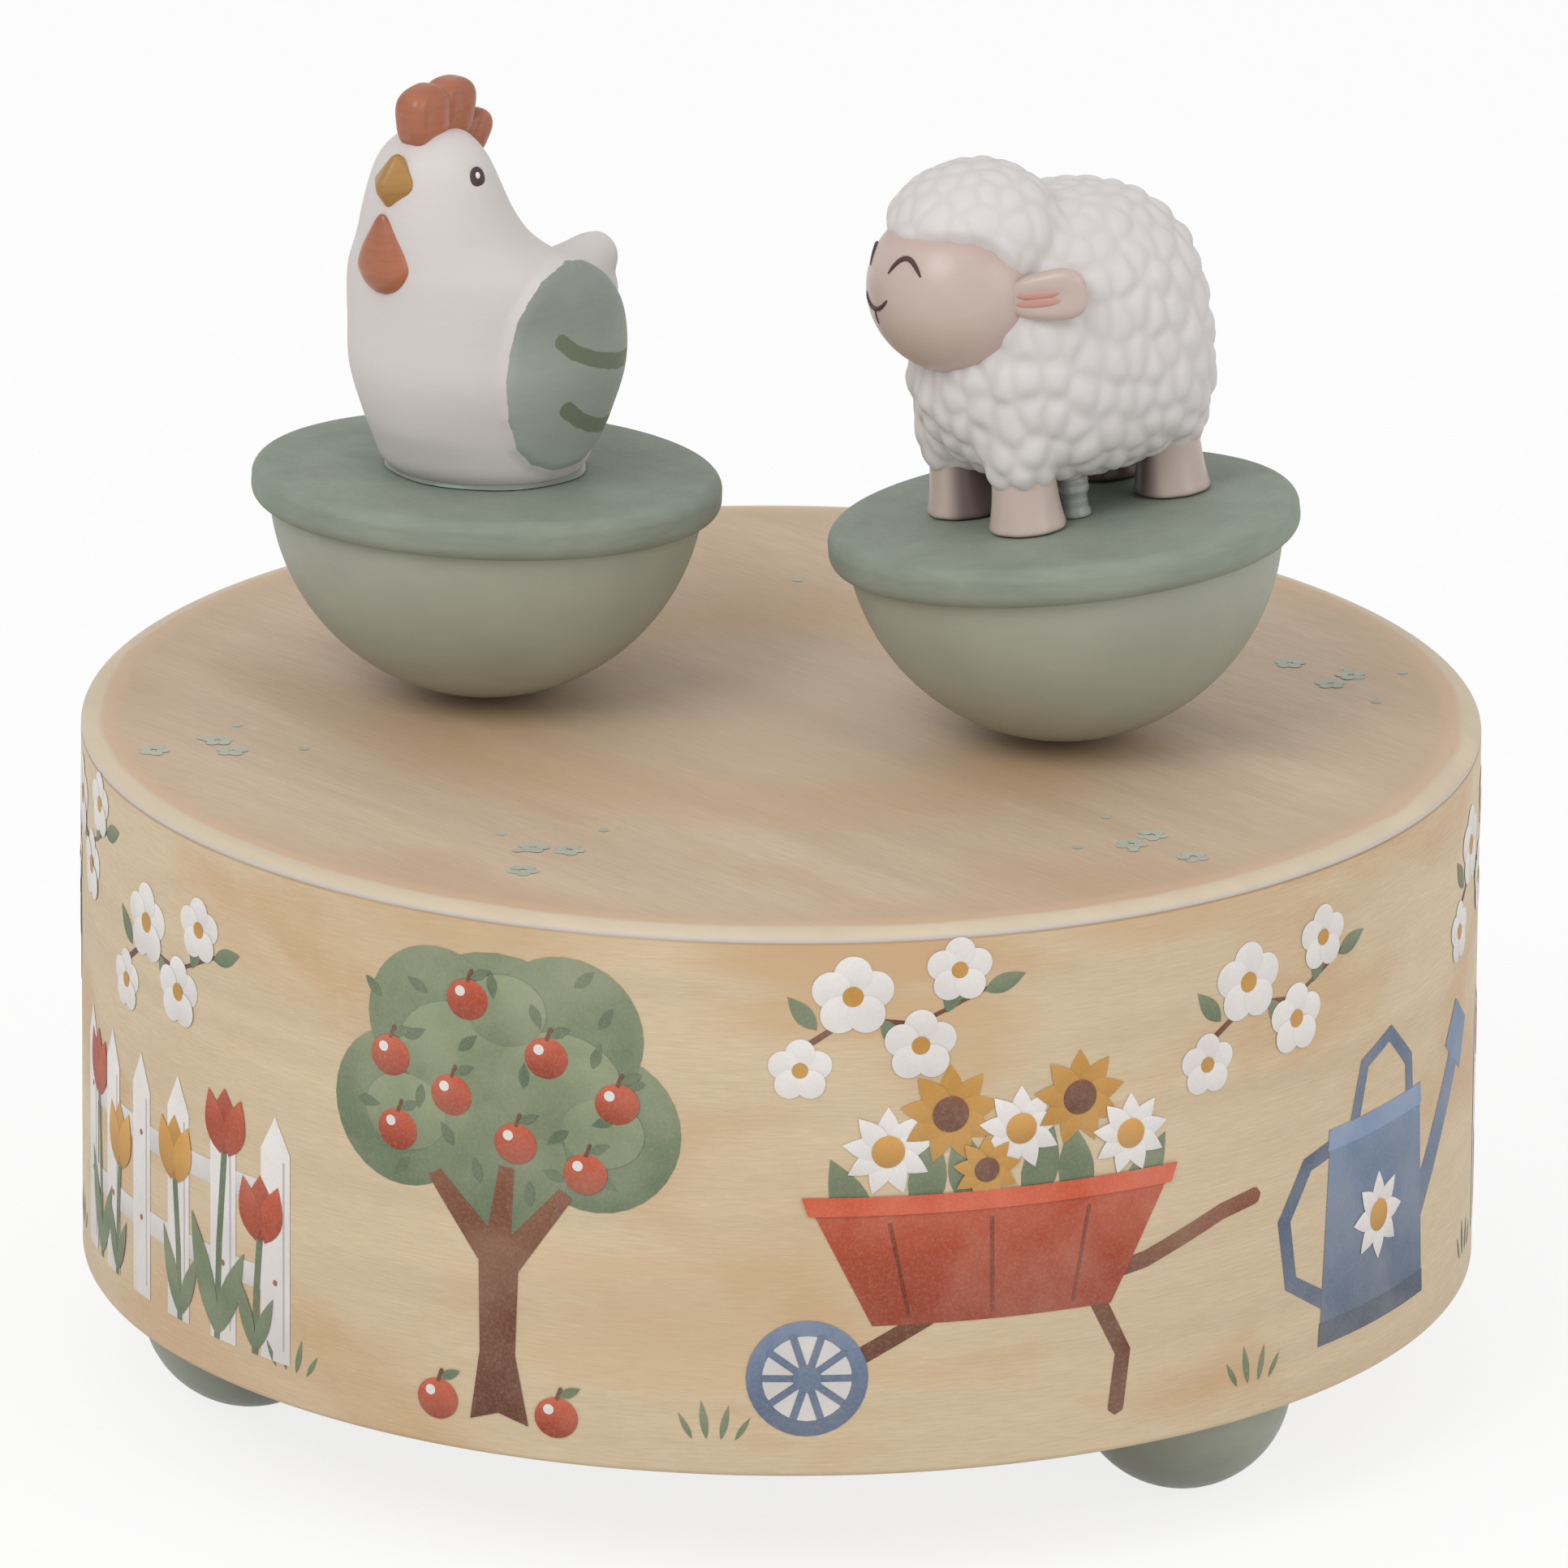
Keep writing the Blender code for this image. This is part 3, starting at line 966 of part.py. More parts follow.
def hen_place(shares, forward):
    """A place on the hen's middle plane, from an upright axis that lies forward of the body's."""
    return (forward + shares[0] * HEN_HALF_LENGTH, 0.0, shares[1] * HEN_HEIGHT)


def tapered(name, root, root_radius, tip, tip_radius, mat, parent):
    """A round-ended taper from its root to its tip."""
    root = Vector(root)
    along = Vector(tip) - root
    quarter = math.pi / 2
    length = along.length
    profile = [(0.0, -root_radius)] + arc((0.0, 0.0), root_radius, -quarter * 2 / 3, 0.0, 4)
    profile += arc((0.0, length), tip_radius, 0.0, quarter * 2 / 3, 3) + [(0.0, length + tip_radius)]
    made = turned(name, profile, mat, SMALL_SIDES, parent)
    turn = Vector((0.0, 0.0, 1.0)).rotation_difference(along)
    made.data.transform(Matrix.Translation(root) @ turn.to_matrix().to_4x4())
    return made


def build_sheep(tumbler, wool, skin, glue):
    """The sheep as one casting: fleece, cap of wool, face, ears and four flared legs, with a peg of glue."""
    axis = figure_axis("sheep_frame", tumbler, SHEEP_HEADING, SHEEP_SHIFT)
    sheep = ball("sheep_figure", SHEEP_BODY_HALF, wool, SHEEP_BODY_PLACE, axis, sides=20, rings=12,
                 square=SHEEP_BODY_SQUARENESS_SHARE)
    face_place = offset_place(SHEEP_BODY_PLACE, SHEEP_BODY_HALF, SHEEP_FACE_SHARES)
    cap_place = offset_place(SHEEP_BODY_PLACE, SHEEP_BODY_HALF, SHEEP_CAP_SHARES)
    boolean(sheep, ball("sheep_face", SHEEP_FACE_HALF, skin, face_place, axis, sides=18, rings=11), "UNION")
    boolean(sheep, ball("sheep_cap", SHEEP_CAP_HALF, wool, cap_place, axis, sides=16, rings=10), "UNION")
    for side in (-1, 1):
        place = offset_place(face_place, SHEEP_FACE_HALF, SHEEP_EAR_SHARES, side)
        turn = Matrix.Rotation(-side * SHEEP_EAR_SPLAY, 3, "Z")
        boolean(sheep, ball(f"sheep_ear_{side + 2}", SHEEP_EAR_HALF, skin, place, axis, turn, 10, 6), "UNION")
    high = SHEEP_BODY_PLACE[2] * LEG_HEIGHT_SHARE
    profile = [
        (0.0, 0.0), (LEG_FOOT_RADIUS, 0.0), ((LEG_FOOT_RADIUS + LEG_TOP_RADIUS) / 2, high / 4),
        (LEG_TOP_RADIUS, high / 2), (LEG_TOP_RADIUS, high), (0.0, high),
    ]
    floor = -SHEEP_BODY_PLACE[2] / SHEEP_BODY_HALF[2]
    for end, forward in zip(("front", "rear"), SHEEP_LEG_FORWARD_SHARES):
        for side in (-1, 1):
            shares = (forward, SHEEP_LEG_ASIDE_SHARE, floor)
            place = offset_place(SHEEP_BODY_PLACE, SHEEP_BODY_HALF, shares, side)
            leg = turned(f"sheep_{end}_leg_{side + 2}", profile, skin, SMALL_SIDES, axis, place=place)
            boolean(sheep, leg, "UNION")
    front_leg = offset_place(SHEEP_BODY_PLACE, SHEEP_BODY_HALF, (SHEEP_LEG_FORWARD_SHARES[0], 0.0, 0.0))[0]
    behind_leg = front_leg - LEG_FOOT_RADIUS - GLUE_PEG_RADIUS - FIT_GAP
    belly = SHEEP_BODY_PLACE[2] - SHEEP_BODY_HALF[2]
    turned("glue_peg", disc_profile(GLUE_PEG_RADIUS, 0.0, belly - SEAT_GAP), glue, SMALL_SIDES, axis,
           place=(behind_leg, GLUE_PEG_ASIDE_SHARE * SHEEP_BODY_HALF[1], 0.0))


def offset_place(place, half, shares, side=1):
    """A place given from the centre of a mass by shares of its half sizes, on its left or right side."""
    return (
        place[0] + shares[0] * half[0],
        side * (place[1] + shares[1] * half[1]),
        place[2] + shares[2] * half[2],
    )


def main():
    clear_scene()
    birch = material("birch_plywood", (0.62, 0.45, 0.30), 0.6)
    veneer = material("maple_veneer", (0.66, 0.46, 0.31), 0.55)
    sage = material("sage_paint", (0.30, 0.33, 0.27), 0.55)
    lid_sage = material("lid_sage_paint", (0.25, 0.29, 0.23), 0.6)
    white = material("white_resin", (0.68, 0.64, 0.61), 0.55)
    comb_paint = material("terracotta_paint", (0.52, 0.15, 0.07), 0.45)
    beak_paint = material("mustard_paint", (0.55, 0.33, 0.08), 0.5)
    skin = material("taupe_paint", (0.55, 0.42, 0.34), 0.45)
    glue = material("clear_glue", (0.55, 0.58, 0.56), 0.2)
    steel = material("bright_steel", (0.60, 0.60, 0.61), 0.3, 1.0)
    brass = material("brass", (0.72, 0.55, 0.28), 0.3, 1.0)
    magnet_metal = material("nickel_magnet", (0.66, 0.65, 0.62), 0.25, 1.0)

    build_drum(birch, veneer, sage, steel)
    build_bed(steel, brass)
    build_drive(steel, brass, magnet_metal)
    build_cylinder(steel, brass)
    build_brackets(steel)
    build_comb(steel, brass)
    build_governor(steel, brass)
    hen = build_tumbler("hen", HEN_PLACE, HEN_LEAN, sage, lid_sage, steel, magnet_metal)
    build_hen(hen, white, comb_paint, beak_paint)
    sheep = build_tumbler("sheep", SHEEP_PLACE, SHEEP_LEAN, sage, lid_sage, steel, magnet_metal)
    build_sheep(sheep, white, skin, glue)
    bpy.context.view_layer.update()


if __name__ == "__main__":
    main()
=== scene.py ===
"""Looks of a round wooden music box with a hen and a sheep on magnetic tumblers.

Lengths in the panel are real sizes. Each figure is modelled in its own frame: +X forward, +Y to its
left, +Z up from its lid, and is then placed on its tumbler.
"""
import json
import math

import bmesh
import bpy
import numpy as np
from bpy.props import FloatProperty, FloatVectorProperty, IntProperty, PointerProperty
from mathutils import Matrix, Vector, noise as mathutils_noise


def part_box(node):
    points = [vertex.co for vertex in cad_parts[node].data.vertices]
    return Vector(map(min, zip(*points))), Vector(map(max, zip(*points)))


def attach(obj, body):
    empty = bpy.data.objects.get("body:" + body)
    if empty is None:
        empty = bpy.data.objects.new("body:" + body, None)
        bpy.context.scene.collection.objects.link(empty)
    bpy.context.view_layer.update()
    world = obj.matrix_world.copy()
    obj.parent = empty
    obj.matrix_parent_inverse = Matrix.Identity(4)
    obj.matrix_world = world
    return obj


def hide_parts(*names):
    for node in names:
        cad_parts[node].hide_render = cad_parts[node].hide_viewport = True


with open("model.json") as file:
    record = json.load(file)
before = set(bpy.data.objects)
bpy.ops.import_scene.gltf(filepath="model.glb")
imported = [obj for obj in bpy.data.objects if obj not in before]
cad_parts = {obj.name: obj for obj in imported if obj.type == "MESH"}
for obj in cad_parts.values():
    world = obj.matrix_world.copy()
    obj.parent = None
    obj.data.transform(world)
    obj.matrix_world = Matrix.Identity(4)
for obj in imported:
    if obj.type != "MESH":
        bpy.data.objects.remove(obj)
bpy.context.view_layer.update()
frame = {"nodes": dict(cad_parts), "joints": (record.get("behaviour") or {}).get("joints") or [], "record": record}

bl_info = {
    "name": "Music box looks",
    "version": (1, 0, 0),
    "blender": (4, 5, 0),
    "location": "View3D > Sidebar > Music box",
    "description": "Finished surfaces, print and figures of a wind-up music box",
    "category": "Object",
}

MM = 0.001
JOINTS = {joint["name"]: joint for joint in frame["joints"]}
DRUM_LOW, DRUM_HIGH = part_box("side_wall")
TOP_LOW, TOP_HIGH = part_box("top_board")


def length(name, default, description):
    """A length property, its default in millimetres."""
    return FloatProperty(name=name, default=default * MM, min=0.0, precision=5, unit="LENGTH",
                         description=description)


def share(name, default, description):
    return FloatProperty(name=name, default=default, min=0.0, max=1.0, subtype="FACTOR",
                         description=description)


def angle(name, default, description):
    """An angle property, its default in degrees."""
    return FloatProperty(name=name, default=math.radians(default), subtype="ANGLE", description=description)


def colour(name, default, description):
    return FloatVectorProperty(name=name, default=default, size=3, min=0.0, max=1.0, subtype="COLOR_GAMMA",
                               description=description)


class DrumSettings(bpy.types.PropertyGroup):
    edge_drop: length("Edge drop", 0.75, "Height of the rounding of the top board's rim")
    edge_inset: length("Edge inset", 1.6, "Width of the rounding of the top board's rim")
    edge_band: length("Edge band", 0.9, "Height of the top board's edge that shows above the side")
    wall: length("Wall", 7.0, "Thickness of the side wall")
    rebate: length("Rebate", 4.0, "Width of the shelf that holds the bottom board")
    rebate_depth: length("Rebate depth", 3.1, "Height of the shelf above the wall's lower edge")
    top_thickness: length("Top thickness", 3.0, "Thickness of the top board")
    # Painted shade lies in a warm ring round this radius on the top board, under the tumblers' path.
    track: length("Track", 23.5, "Radius of the ring that the tumblers burnish as they ride round")
    grain_turn: angle("Grain turn", -48.0, "Direction of the top board's grain")
    side: colour("Side wood", (0.845, 0.768, 0.642), "Veneer of the side")
    side_flame: colour("Side flame", (0.790, 0.650, 0.490), "Warm blotches in the side's veneer")
    top: colour("Top wood", (0.800, 0.715, 0.618), "Veneer of the top")
    top_flame: colour("Top flame", (0.755, 0.640, 0.520), "Warm blotches in the top's veneer")
    glow: colour("Top's edge glow", (0.820, 0.695, 0.580), "Warm fringe of the top beside its pale edge")
    edge: colour("Pale edge", (0.835, 0.780, 0.680), "Sanded edge of the top board")
    filler: colour("Filler", (0.790, 0.755, 0.725), "Filled joint between the top board and the side")
    board: colour("Bottom board", (0.780, 0.700, 0.580), "Bare plywood")


class PrintSettings(bpy.types.PropertyGroup):
    lift: length("Lift", 0.02, "Height of the first layer of ink over the wood")
    layer: length("Layer", 0.008, "Height of one layer of ink over another")
    facet: length("Facet", 2.0, "Width of the flat strips that bend round the drum")
    rust: colour("Rust", (0.680, 0.300, 0.205), "Red ink")
    slate: colour("Slate", (0.430, 0.500, 0.600), "Blue ink")
    brown: colour("Brown", (0.430, 0.265, 0.195), "Dark brown ink")
    mustard: colour("Mustard", (0.775, 0.570, 0.260), "Yellow ink")
    sage: colour("Sage", (0.500, 0.545, 0.430), "Green ink")
    leaf: colour("Leaf", (0.405, 0.475, 0.370), "Dark green ink")
    white: colour("White", (0.915, 0.900, 0.885), "White ink")
    mint: colour("Mint", (0.690, 0.715, 0.655), "Pale green ink on the top")


class TumblerSettings(bpy.types.PropertyGroup):
    bowl_radius: length("Bowl radius", 17.15, "Radius of the ball that the bowl is part of")
    lid_radius: length("Lid radius", 18.5, "Radius of the lid")
    lid_above: length("Lid above centre", 1.15, "Lid's top above the ball's centre")
    lid_below: length("Lid below centre", 2.0, "Lid's underside below the ball's centre")
    seat_gap: length("Seat gap", 0.1, "Gap between touching pieces")
    bowl: colour("Bowl", (0.630, 0.645, 0.590), "Light sage paint")
    lid: colour("Lid", (0.535, 0.568, 0.515), "Sage paint")
    foot: colour("Foot", (0.600, 0.615, 0.560), "Sage paint of the feet")


class HenSettings(bpy.types.PropertyGroup):
    heading: angle("Heading", 38.0, "Way that the hen faces, from the front towards the left")
    voxel: length("Voxel", 0.3, "Grain of the modelled surface")
    wing_rise: length("Wing rise", 0.55, "How far the wing stands out")
    white: colour("White", (0.825, 0.800, 0.790), "Painted resin")
    wing: colour("Wing", (0.610, 0.637, 0.603), "Wing paint")
    stripe: colour("Stripe", (0.450, 0.485, 0.405), "Stripes on the wing")
    comb: colour("Comb", (0.640, 0.388, 0.278), "Comb and wattle")
    beak: colour("Beak", (0.662, 0.492, 0.278), "Beak")
    eye: colour("Eye", (0.290, 0.220, 0.240), "Eye paint")


class SheepSettings(bpy.types.PropertyGroup):
    heading: angle("Heading", 55.0, "Way that the sheep faces, from the front towards the left")
    head_turn: angle("Head turn", -12.0, "Turn of the head from the body")
    shift: length("Shift", 1.2, "Offset of the figure to its right from the middle of the lid")
    voxel: length("Voxel", 0.23, "Grain of the modelled surface")
    curl: length("Curl", 2.05, "Width of one curl of wool")
    curl_rise: length("Curl rise", 0.53, "Height of one curl of wool")
    seed: IntProperty(name="Seed", default=5, min=1, description="Scatter of the curls")
    wool: colour("Wool", (0.830, 0.812, 0.805), "Painted fleece")
    skin: colour("Skin", (0.762, 0.688, 0.650), "Face and legs")
    pink: colour("Pink", (0.770, 0.590, 0.535), "Stripe in the ear")
    line: colour("Line", (0.330, 0.225, 0.235), "Painted eyes and mouth")


class MetalSettings(bpy.types.PropertyGroup):
    steel: colour("Steel", (0.780, 0.780, 0.785), "Zinc-plated steel")
    brass: colour("Brass", (0.860, 0.740, 0.480), "Brass")
    nickel: colour("Nickel", (0.830, 0.825, 0.800), "Nickel-plated magnets")


class StageSettings(bpy.types.PropertyGroup):
    lens: FloatProperty(name="Lens", default=453.9, description="Focal length on a 36 mm sensor")
    distance: length("Distance", 1560.4, "From the camera to the middle of the drum")
    elevation: angle("Elevation", 18.697, "Height of the camera over the horizon")
    roll: angle("Roll", 0.46, "Clockwise lean of the picture")
    aim_up: angle("Aim up", 0.5549, "How far the camera looks above the middle of the drum")
    aim_right: angle("Aim right", 0.0095, "How far the camera looks to the right of it")
    sky: FloatProperty(name="Sky", default=0.74, min=0.0, description="Strength of the soft light all round")
    key: FloatProperty(name="Key", default=5.0, min=0.0, description="Power of the large lamp, in watts")
    fill: FloatProperty(name="Fill", default=2.0, min=0.0, description="Power of the fill lamp, in watts")
    ground: share("Ground", 0.72, "How much of the light that falls on it the floor throws back")


GROUPS = (
    ("music_drum", DrumSettings), ("music_print", PrintSettings), ("music_tumbler", TumblerSettings),
    ("music_hen", HenSettings), ("music_sheep", SheepSettings), ("music_metal", MetalSettings),
    ("music_stage", StageSettings),
)


# Node helpers

def linear(value):
    """A display colour as the linear colour that a shader takes."""
    low = [part / 12.92 if part <= 0.04045 else ((part + 0.055) / 1.055) ** 2.4 for part in value]
    return (*low, 1.0)


def put(tree, socket, value):
    """Give a socket a value, or link another node's output to it."""
    if isinstance(value, bpy.types.NodeSocket):
        tree.links.new(value, socket)
    else:
        socket.default_value = value


def add(tree, kind, inputs=None, **settings):
    """A node with its settings. An input takes a value or another node's output."""
    made = tree.nodes.new(kind)
    for name, value in settings.items():
        setattr(made, name, value)
    for name, value in (inputs or {}).items():
        put(tree, made.inputs[name], value)
    return made


def mixed(tree, factor, first, second, blend="MIX"):
    made = add(tree, "ShaderNodeMix", {0: factor, 6: first, 7: second}, data_type="RGBA", blend_type=blend)
    return made.outputs[2]


def ramp(tree, value, low, high, to_low=0.0, to_high=1.0, smooth=False):
    made = add(tree, "ShaderNodeMapRange", {0: value, 1: low, 2: high, 3: to_low, 4: to_high},
               interpolation_type="SMOOTHSTEP" if smooth else "LINEAR")
    return made.outputs[0]


def maths(tree, operation, first, second=0.0):
    return add(tree, "ShaderNodeMath", {0: first, 1: second}, operation=operation).outputs[0]


def centred(tree, value, amount):
    """A value from nought to one, moved to lie round nought and multiplied."""
    return maths(tree, "MULTIPLY", maths(tree, "SUBTRACT", value, 0.5), amount)


def attribute(tree, name):
    return add(tree, "ShaderNodeAttribute", attribute_name=name).outputs["Fac"]


def noise(tree, vector, scale, detail=2.0, roughness=0.5, distortion=0.0):
    made = add(tree, "ShaderNodeTexNoise", {
        "Vector": vector, "Scale": scale, "Detail": detail, "Roughness": roughness, "Distortion": distortion,
    })
    return made.outputs["Fac"]


def stretched(tree, vector, along, across, depth=1.0):
    """The vector with its axes scaled, for a pattern that is longer one way."""
    return add(tree, "ShaderNodeMapping", {"Vector": vector, "Scale": (along, across, depth)}).outputs[0]


def group(name, inputs, outputs):
    """A new node group with named sockets, and its input and output nodes."""
    tree = bpy.data.node_groups.new(name, "ShaderNodeTree")
    for label, kind, default in inputs:
        socket = tree.interface.new_socket(name=label, in_out="INPUT", socket_type=kind)
        if default is not None:
            socket.default_value = default
    for label, kind in outputs:
        tree.interface.new_socket(name=label, in_out="OUTPUT", socket_type=kind)
    return tree, tree.nodes.new("NodeGroupInput"), tree.nodes.new("NodeGroupOutput")


FLOAT = "NodeSocketFloat"
VECTOR = "NodeSocketVector"
COLOUR = "NodeSocketColor"


def grain_group():
    """Wood figure on a vector in millimetres whose X runs along the grain."""
    if "Wood grain" in bpy.data.node_groups:
        return bpy.data.node_groups["Wood grain"]
    tree, start, end = group("Wood grain", [("Vector", VECTOR, None), ("Size", FLOAT, 1.0)], [
        ("Streaks", FLOAT), ("Flame", FLOAT), ("Fibres", FLOAT), ("Pores", FLOAT),
    ])
    sized = add(tree, "ShaderNodeVectorMath", {0: start.outputs["Vector"], 3: start.outputs["Size"]},
                operation="SCALE").outputs[0]
    streaks = noise(tree, stretched(tree, sized, 0.02, 0.32, 0.2), 1.0, 3.0, 0.5, 0.3)
    flame = noise(tree, stretched(tree, sized, 0.030, 0.055, 0.05), 1.0, 3.0, 0.55, 0.4)
    fibres = noise(tree, stretched(tree, sized, 0.42, 5.6, 1.0), 1.0, 4.0, 0.65)
    pores = noise(tree, stretched(tree, sized, 0.6, 7.0, 1.0), 1.0, 2.0, 0.5)
    pores = ramp(tree, pores, 0.57, 0.70)
    for label, value in (("Streaks", streaks), ("Flame", flame), ("Fibres", fibres), ("Pores", pores)):
        tree.links.new(value, end.inputs[label])
    return tree


def paint_group():
    """Uneven tone, brush drag and gloss of hand-brushed paint, on a vector in millimetres."""
    if "Brushed paint" in bpy.data.node_groups:
        return bpy.data.node_groups["Brushed paint"]
    tree, start, end = group("Brushed paint", [("Vector", VECTOR, None), ("Drag", FLOAT, 1.0)], [
        ("Tone", FLOAT), ("Gloss", FLOAT), ("Height", FLOAT),
    ])
    vector = start.outputs["Vector"]
    cloud = noise(tree, stretched(tree, vector, 0.12, 0.12, 0.12), 1.0, 3.0, 0.55)
    drag = noise(tree, stretched(tree, vector, 0.35, 0.35, 2.2), 1.0, 3.0, 0.6, 0.4)
    speck = noise(tree, vector, 2.8, 2.0, 0.6)
    dragged = centred(tree, drag, start.outputs["Drag"])
    tone = maths(tree, "ADD", cloud, maths(tree, "MULTIPLY", dragged, 0.5))
    tree.links.new(ramp(tree, tone, 0.25, 0.75), end.inputs["Tone"])
    tree.links.new(ramp(tree, speck, 0.3, 0.7), end.inputs["Gloss"])
    height = maths(tree, "ADD", maths(tree, "MULTIPLY", dragged, 0.8), maths(tree, "MULTIPLY", speck, 0.25))
    tree.links.new(height, end.inputs["Height"])
    return tree


def edge_group():
    """A painted shape's edge: sharp where the mask crosses a half, with a brush's small waver."""
    if "Paint edge" in bpy.data.node_groups:
        return bpy.data.node_groups["Paint edge"]
    tree, start, end = group("Paint edge", [
        ("Mask", FLOAT, 0.0), ("Vector", VECTOR, None), ("Waver", FLOAT, 0.08), ("Soft", FLOAT, 0.02),
    ], [("Edge", FLOAT)])
    waver = centred(tree, noise(tree, start.outputs["Vector"], 1.1, 3.0, 0.6), start.outputs["Waver"])
    moved = maths(tree, "ADD", start.outputs["Mask"], waver)
    low = maths(tree, "SUBTRACT", 0.5, start.outputs["Soft"])
    high = maths(tree, "ADD", 0.5, start.outputs["Soft"])
    tree.links.new(ramp(tree, moved, low, high, smooth=True), end.inputs["Edge"])
    return tree


def metal_group():
    """Fine scratches and dull patches of worked metal, on a vector in millimetres."""
    if "Worked metal" in bpy.data.node_groups:
        return bpy.data.node_groups["Worked metal"]
    tree, start, end = group("Worked metal", [("Vector", VECTOR, None), ("Wear", FLOAT, 1.0)], [
        ("Tone", FLOAT), ("Dull", FLOAT), ("Height", FLOAT),
    ])
    vector = start.outputs["Vector"]
    scratch = noise(tree, stretched(tree, vector, 0.5, 7.0, 7.0), 1.0, 3.0, 0.65)
    patch = noise(tree, vector, 0.35, 4.0, 0.6)
    wear_and_painted_shade = maths(tree, "MULTIPLY", patch, start.outputs["Wear"])
    tree.links.new(ramp(tree, patch, 0.3, 0.7), end.inputs["Tone"])
    tree.links.new(maths(tree, "ADD", maths(tree, "MULTIPLY", scratch, 0.4), wear_and_painted_shade), end.inputs["Dull"])
    tree.links.new(scratch, end.inputs["Height"])
    return tree


def in_millimetres(tree, vector):
    return add(tree, "ShaderNodeVectorMath", {0: vector, 3: 1000.0}, operation="SCALE").outputs[0]


def object_vector(tree):
    """Object coordinates in millimetres."""
    return in_millimetres(tree, add(tree, "ShaderNodeTexCoord").outputs["Object"])


def use(tree, node_group, **inputs):
    return add(tree, "ShaderNodeGroup", inputs, node_tree=node_group).outputs


def bump(tree, height, distance, strength=1.0):
    made = add(tree, "ShaderNodeBump", {"Height": height, "Distance": distance * MM, "Strength": strength})
    return made.outputs["Normal"]


def material(name, build):
    """A material whose Principled BSDF the build function feeds. Made once for each name."""
    if name in bpy.data.materials:
        return bpy.data.materials[name]
    made = bpy.data.materials.new(name)
    made.use_nodes = True
    tree = made.node_tree
    build(tree, tree.nodes["Principled BSDF"])
    return made


def feed(tree, shader, **inputs):
    """Feed a shader's sockets, each named with underscores for its spaces."""
    for name, value in inputs.items():
        put(tree, shader.inputs[name.replace("_", " ")], value)


# Materials

def wood_material(name, base, flame, vector_of, size=1.0, depth=1.0, finish=None):
    """Sealed pale veneer. The finish function may lay more colour over the wood; on the top board some of it is
    painted light and painted shade.
    """
    def build(tree, shader):
        vector = vector_of(tree)
        wood = use(tree, grain_group(), Vector=vector, Size=size)
        light, dark = linear(toned(base, 1.02)), linear(toned(base, 0.96))
        tint = mixed(tree, ramp(tree, wood["Streaks"], 0.3, 0.7), light, dark)
        warm = ramp(tree, wood["Flame"], 0.47, 0.66, 0.0, 0.75 * depth, smooth=True)
        tint = mixed(tree, warm, tint, linear(flame))
        fine = ramp(tree, wood["Fibres"], 0.38, 0.62, 0.0, 0.26 * depth)
        tint = mixed(tree, fine, tint, linear(toned(flame, 0.92)))
        tint = mixed(tree, maths(tree, "MULTIPLY", wood["Pores"], 0.22), tint, linear(toned(base, 1.08)))
        if finish is not None:
            tint = finish(tree, tint, wood)
        feed(tree, shader, Base_Color=tint, Specular_IOR_Level=0.35,
             Roughness=ramp(tree, wood["Fibres"], 0.3, 0.7, 0.46, 0.58),
             Normal=bump(tree, wood["Fibres"], 0.008))
    return material(name, build)


def toned(tint, change):
    """A colour made lighter or darker."""
    return [min(1.0, part * change) for part in tint]


def side_vector(tree):
    return in_millimetres(tree, add(tree, "ShaderNodeUVMap", uv_map="wrap").outputs["UV"])


def paint_material(name, base, rough=0.5, drag=1.0, tone=0.045, specular=0.3, lift=0.015):
    def build(tree, shader):
        paint = use(tree, paint_group(), Vector=object_vector(tree), Drag=drag)
        tint = mixed(tree, paint["Tone"], linear(toned(base, 1.0 - tone)), linear(toned(base, 1.0 + tone)))
        feed(tree, shader, Base_Color=tint, Specular_IOR_Level=specular,
             Roughness=ramp(tree, paint["Gloss"], 0.0, 1.0, rough - 0.05, rough + 0.07),
             Normal=bump(tree, paint["Height"], lift))
    return material(name, build)


def metal_material(name, base, rough=0.25, wear=0.3):
    def build(tree, shader):
        metal = use(tree, metal_group(), Vector=object_vector(tree), Wear=wear)
        tint = mixed(tree, metal["Tone"], linear(toned(base, 0.86)), linear(base))
        feed(tree, shader, Base_Color=tint, Metallic=1.0,
             Roughness=ramp(tree, metal["Dull"], 0.0, 1.0, rough, rough + 0.3),
             Normal=bump(tree, metal["Height"], 0.004))
    return material(name, build)


def glue_material(name):
    """Clear set glue with small bubbles and a grey cast."""
    def build(tree, shader):
        cloud = noise(tree, object_vector(tree), 1.6, 3.0, 0.6)
        tint = mixed(tree, cloud, linear((0.60, 0.62, 0.59)), linear((0.78, 0.79, 0.77)))
        feed(tree, shader, Base_Color=tint,
             Roughness=ramp(tree, cloud, 0.3, 0.7, 0.15, 0.3), Transmission_Weight=0.35, IOR=1.49)
    return material(name, build)


# Mesh helpers

def piece(name, bm, looks, body, replaced=(), sharp=35.0):
    """Turn a bmesh into a piece that rides on a body and may stand for CAD nodes."""
    mesh = bpy.data.meshes.new(name)
    bm.to_mesh(mesh)
    bm.free()
    for look in looks if isinstance(looks, (list, tuple)) else (looks,):
        mesh.materials.append(look)
    mesh.shade_smooth()
    mesh.set_sharp_from_angle(angle=math.radians(sharp))
    made = bpy.data.objects.new(name, mesh)
    bpy.context.scene.collection.objects.link(made)
    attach(made, body)
    if replaced:
        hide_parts(*replaced)
    return made


def lathe(profile, steps):
    """A closed solid turned round the Z axis from (radius, height) points."""
    bm = bmesh.new()
    verts = [bm.verts.new((radius, 0.0, height)) for radius, height in profile]
    edges = [bm.edges.new(pair) for pair in zip(verts, verts[1:])]
    if profile[0][0] > 0.0:
        edges.append(bm.edges.new((verts[-1], verts[0])))
    bmesh.ops.spin(bm, geom=verts + edges, cent=(0, 0, 0), axis=(0, 0, 1), angle=2 * math.pi, steps=steps,
                   use_merge=True)
    bmesh.ops.remove_doubles(bm, verts=bm.verts, dist=0.001 * MM)
    bmesh.ops.recalc_face_normals(bm, faces=bm.faces)
    return bm


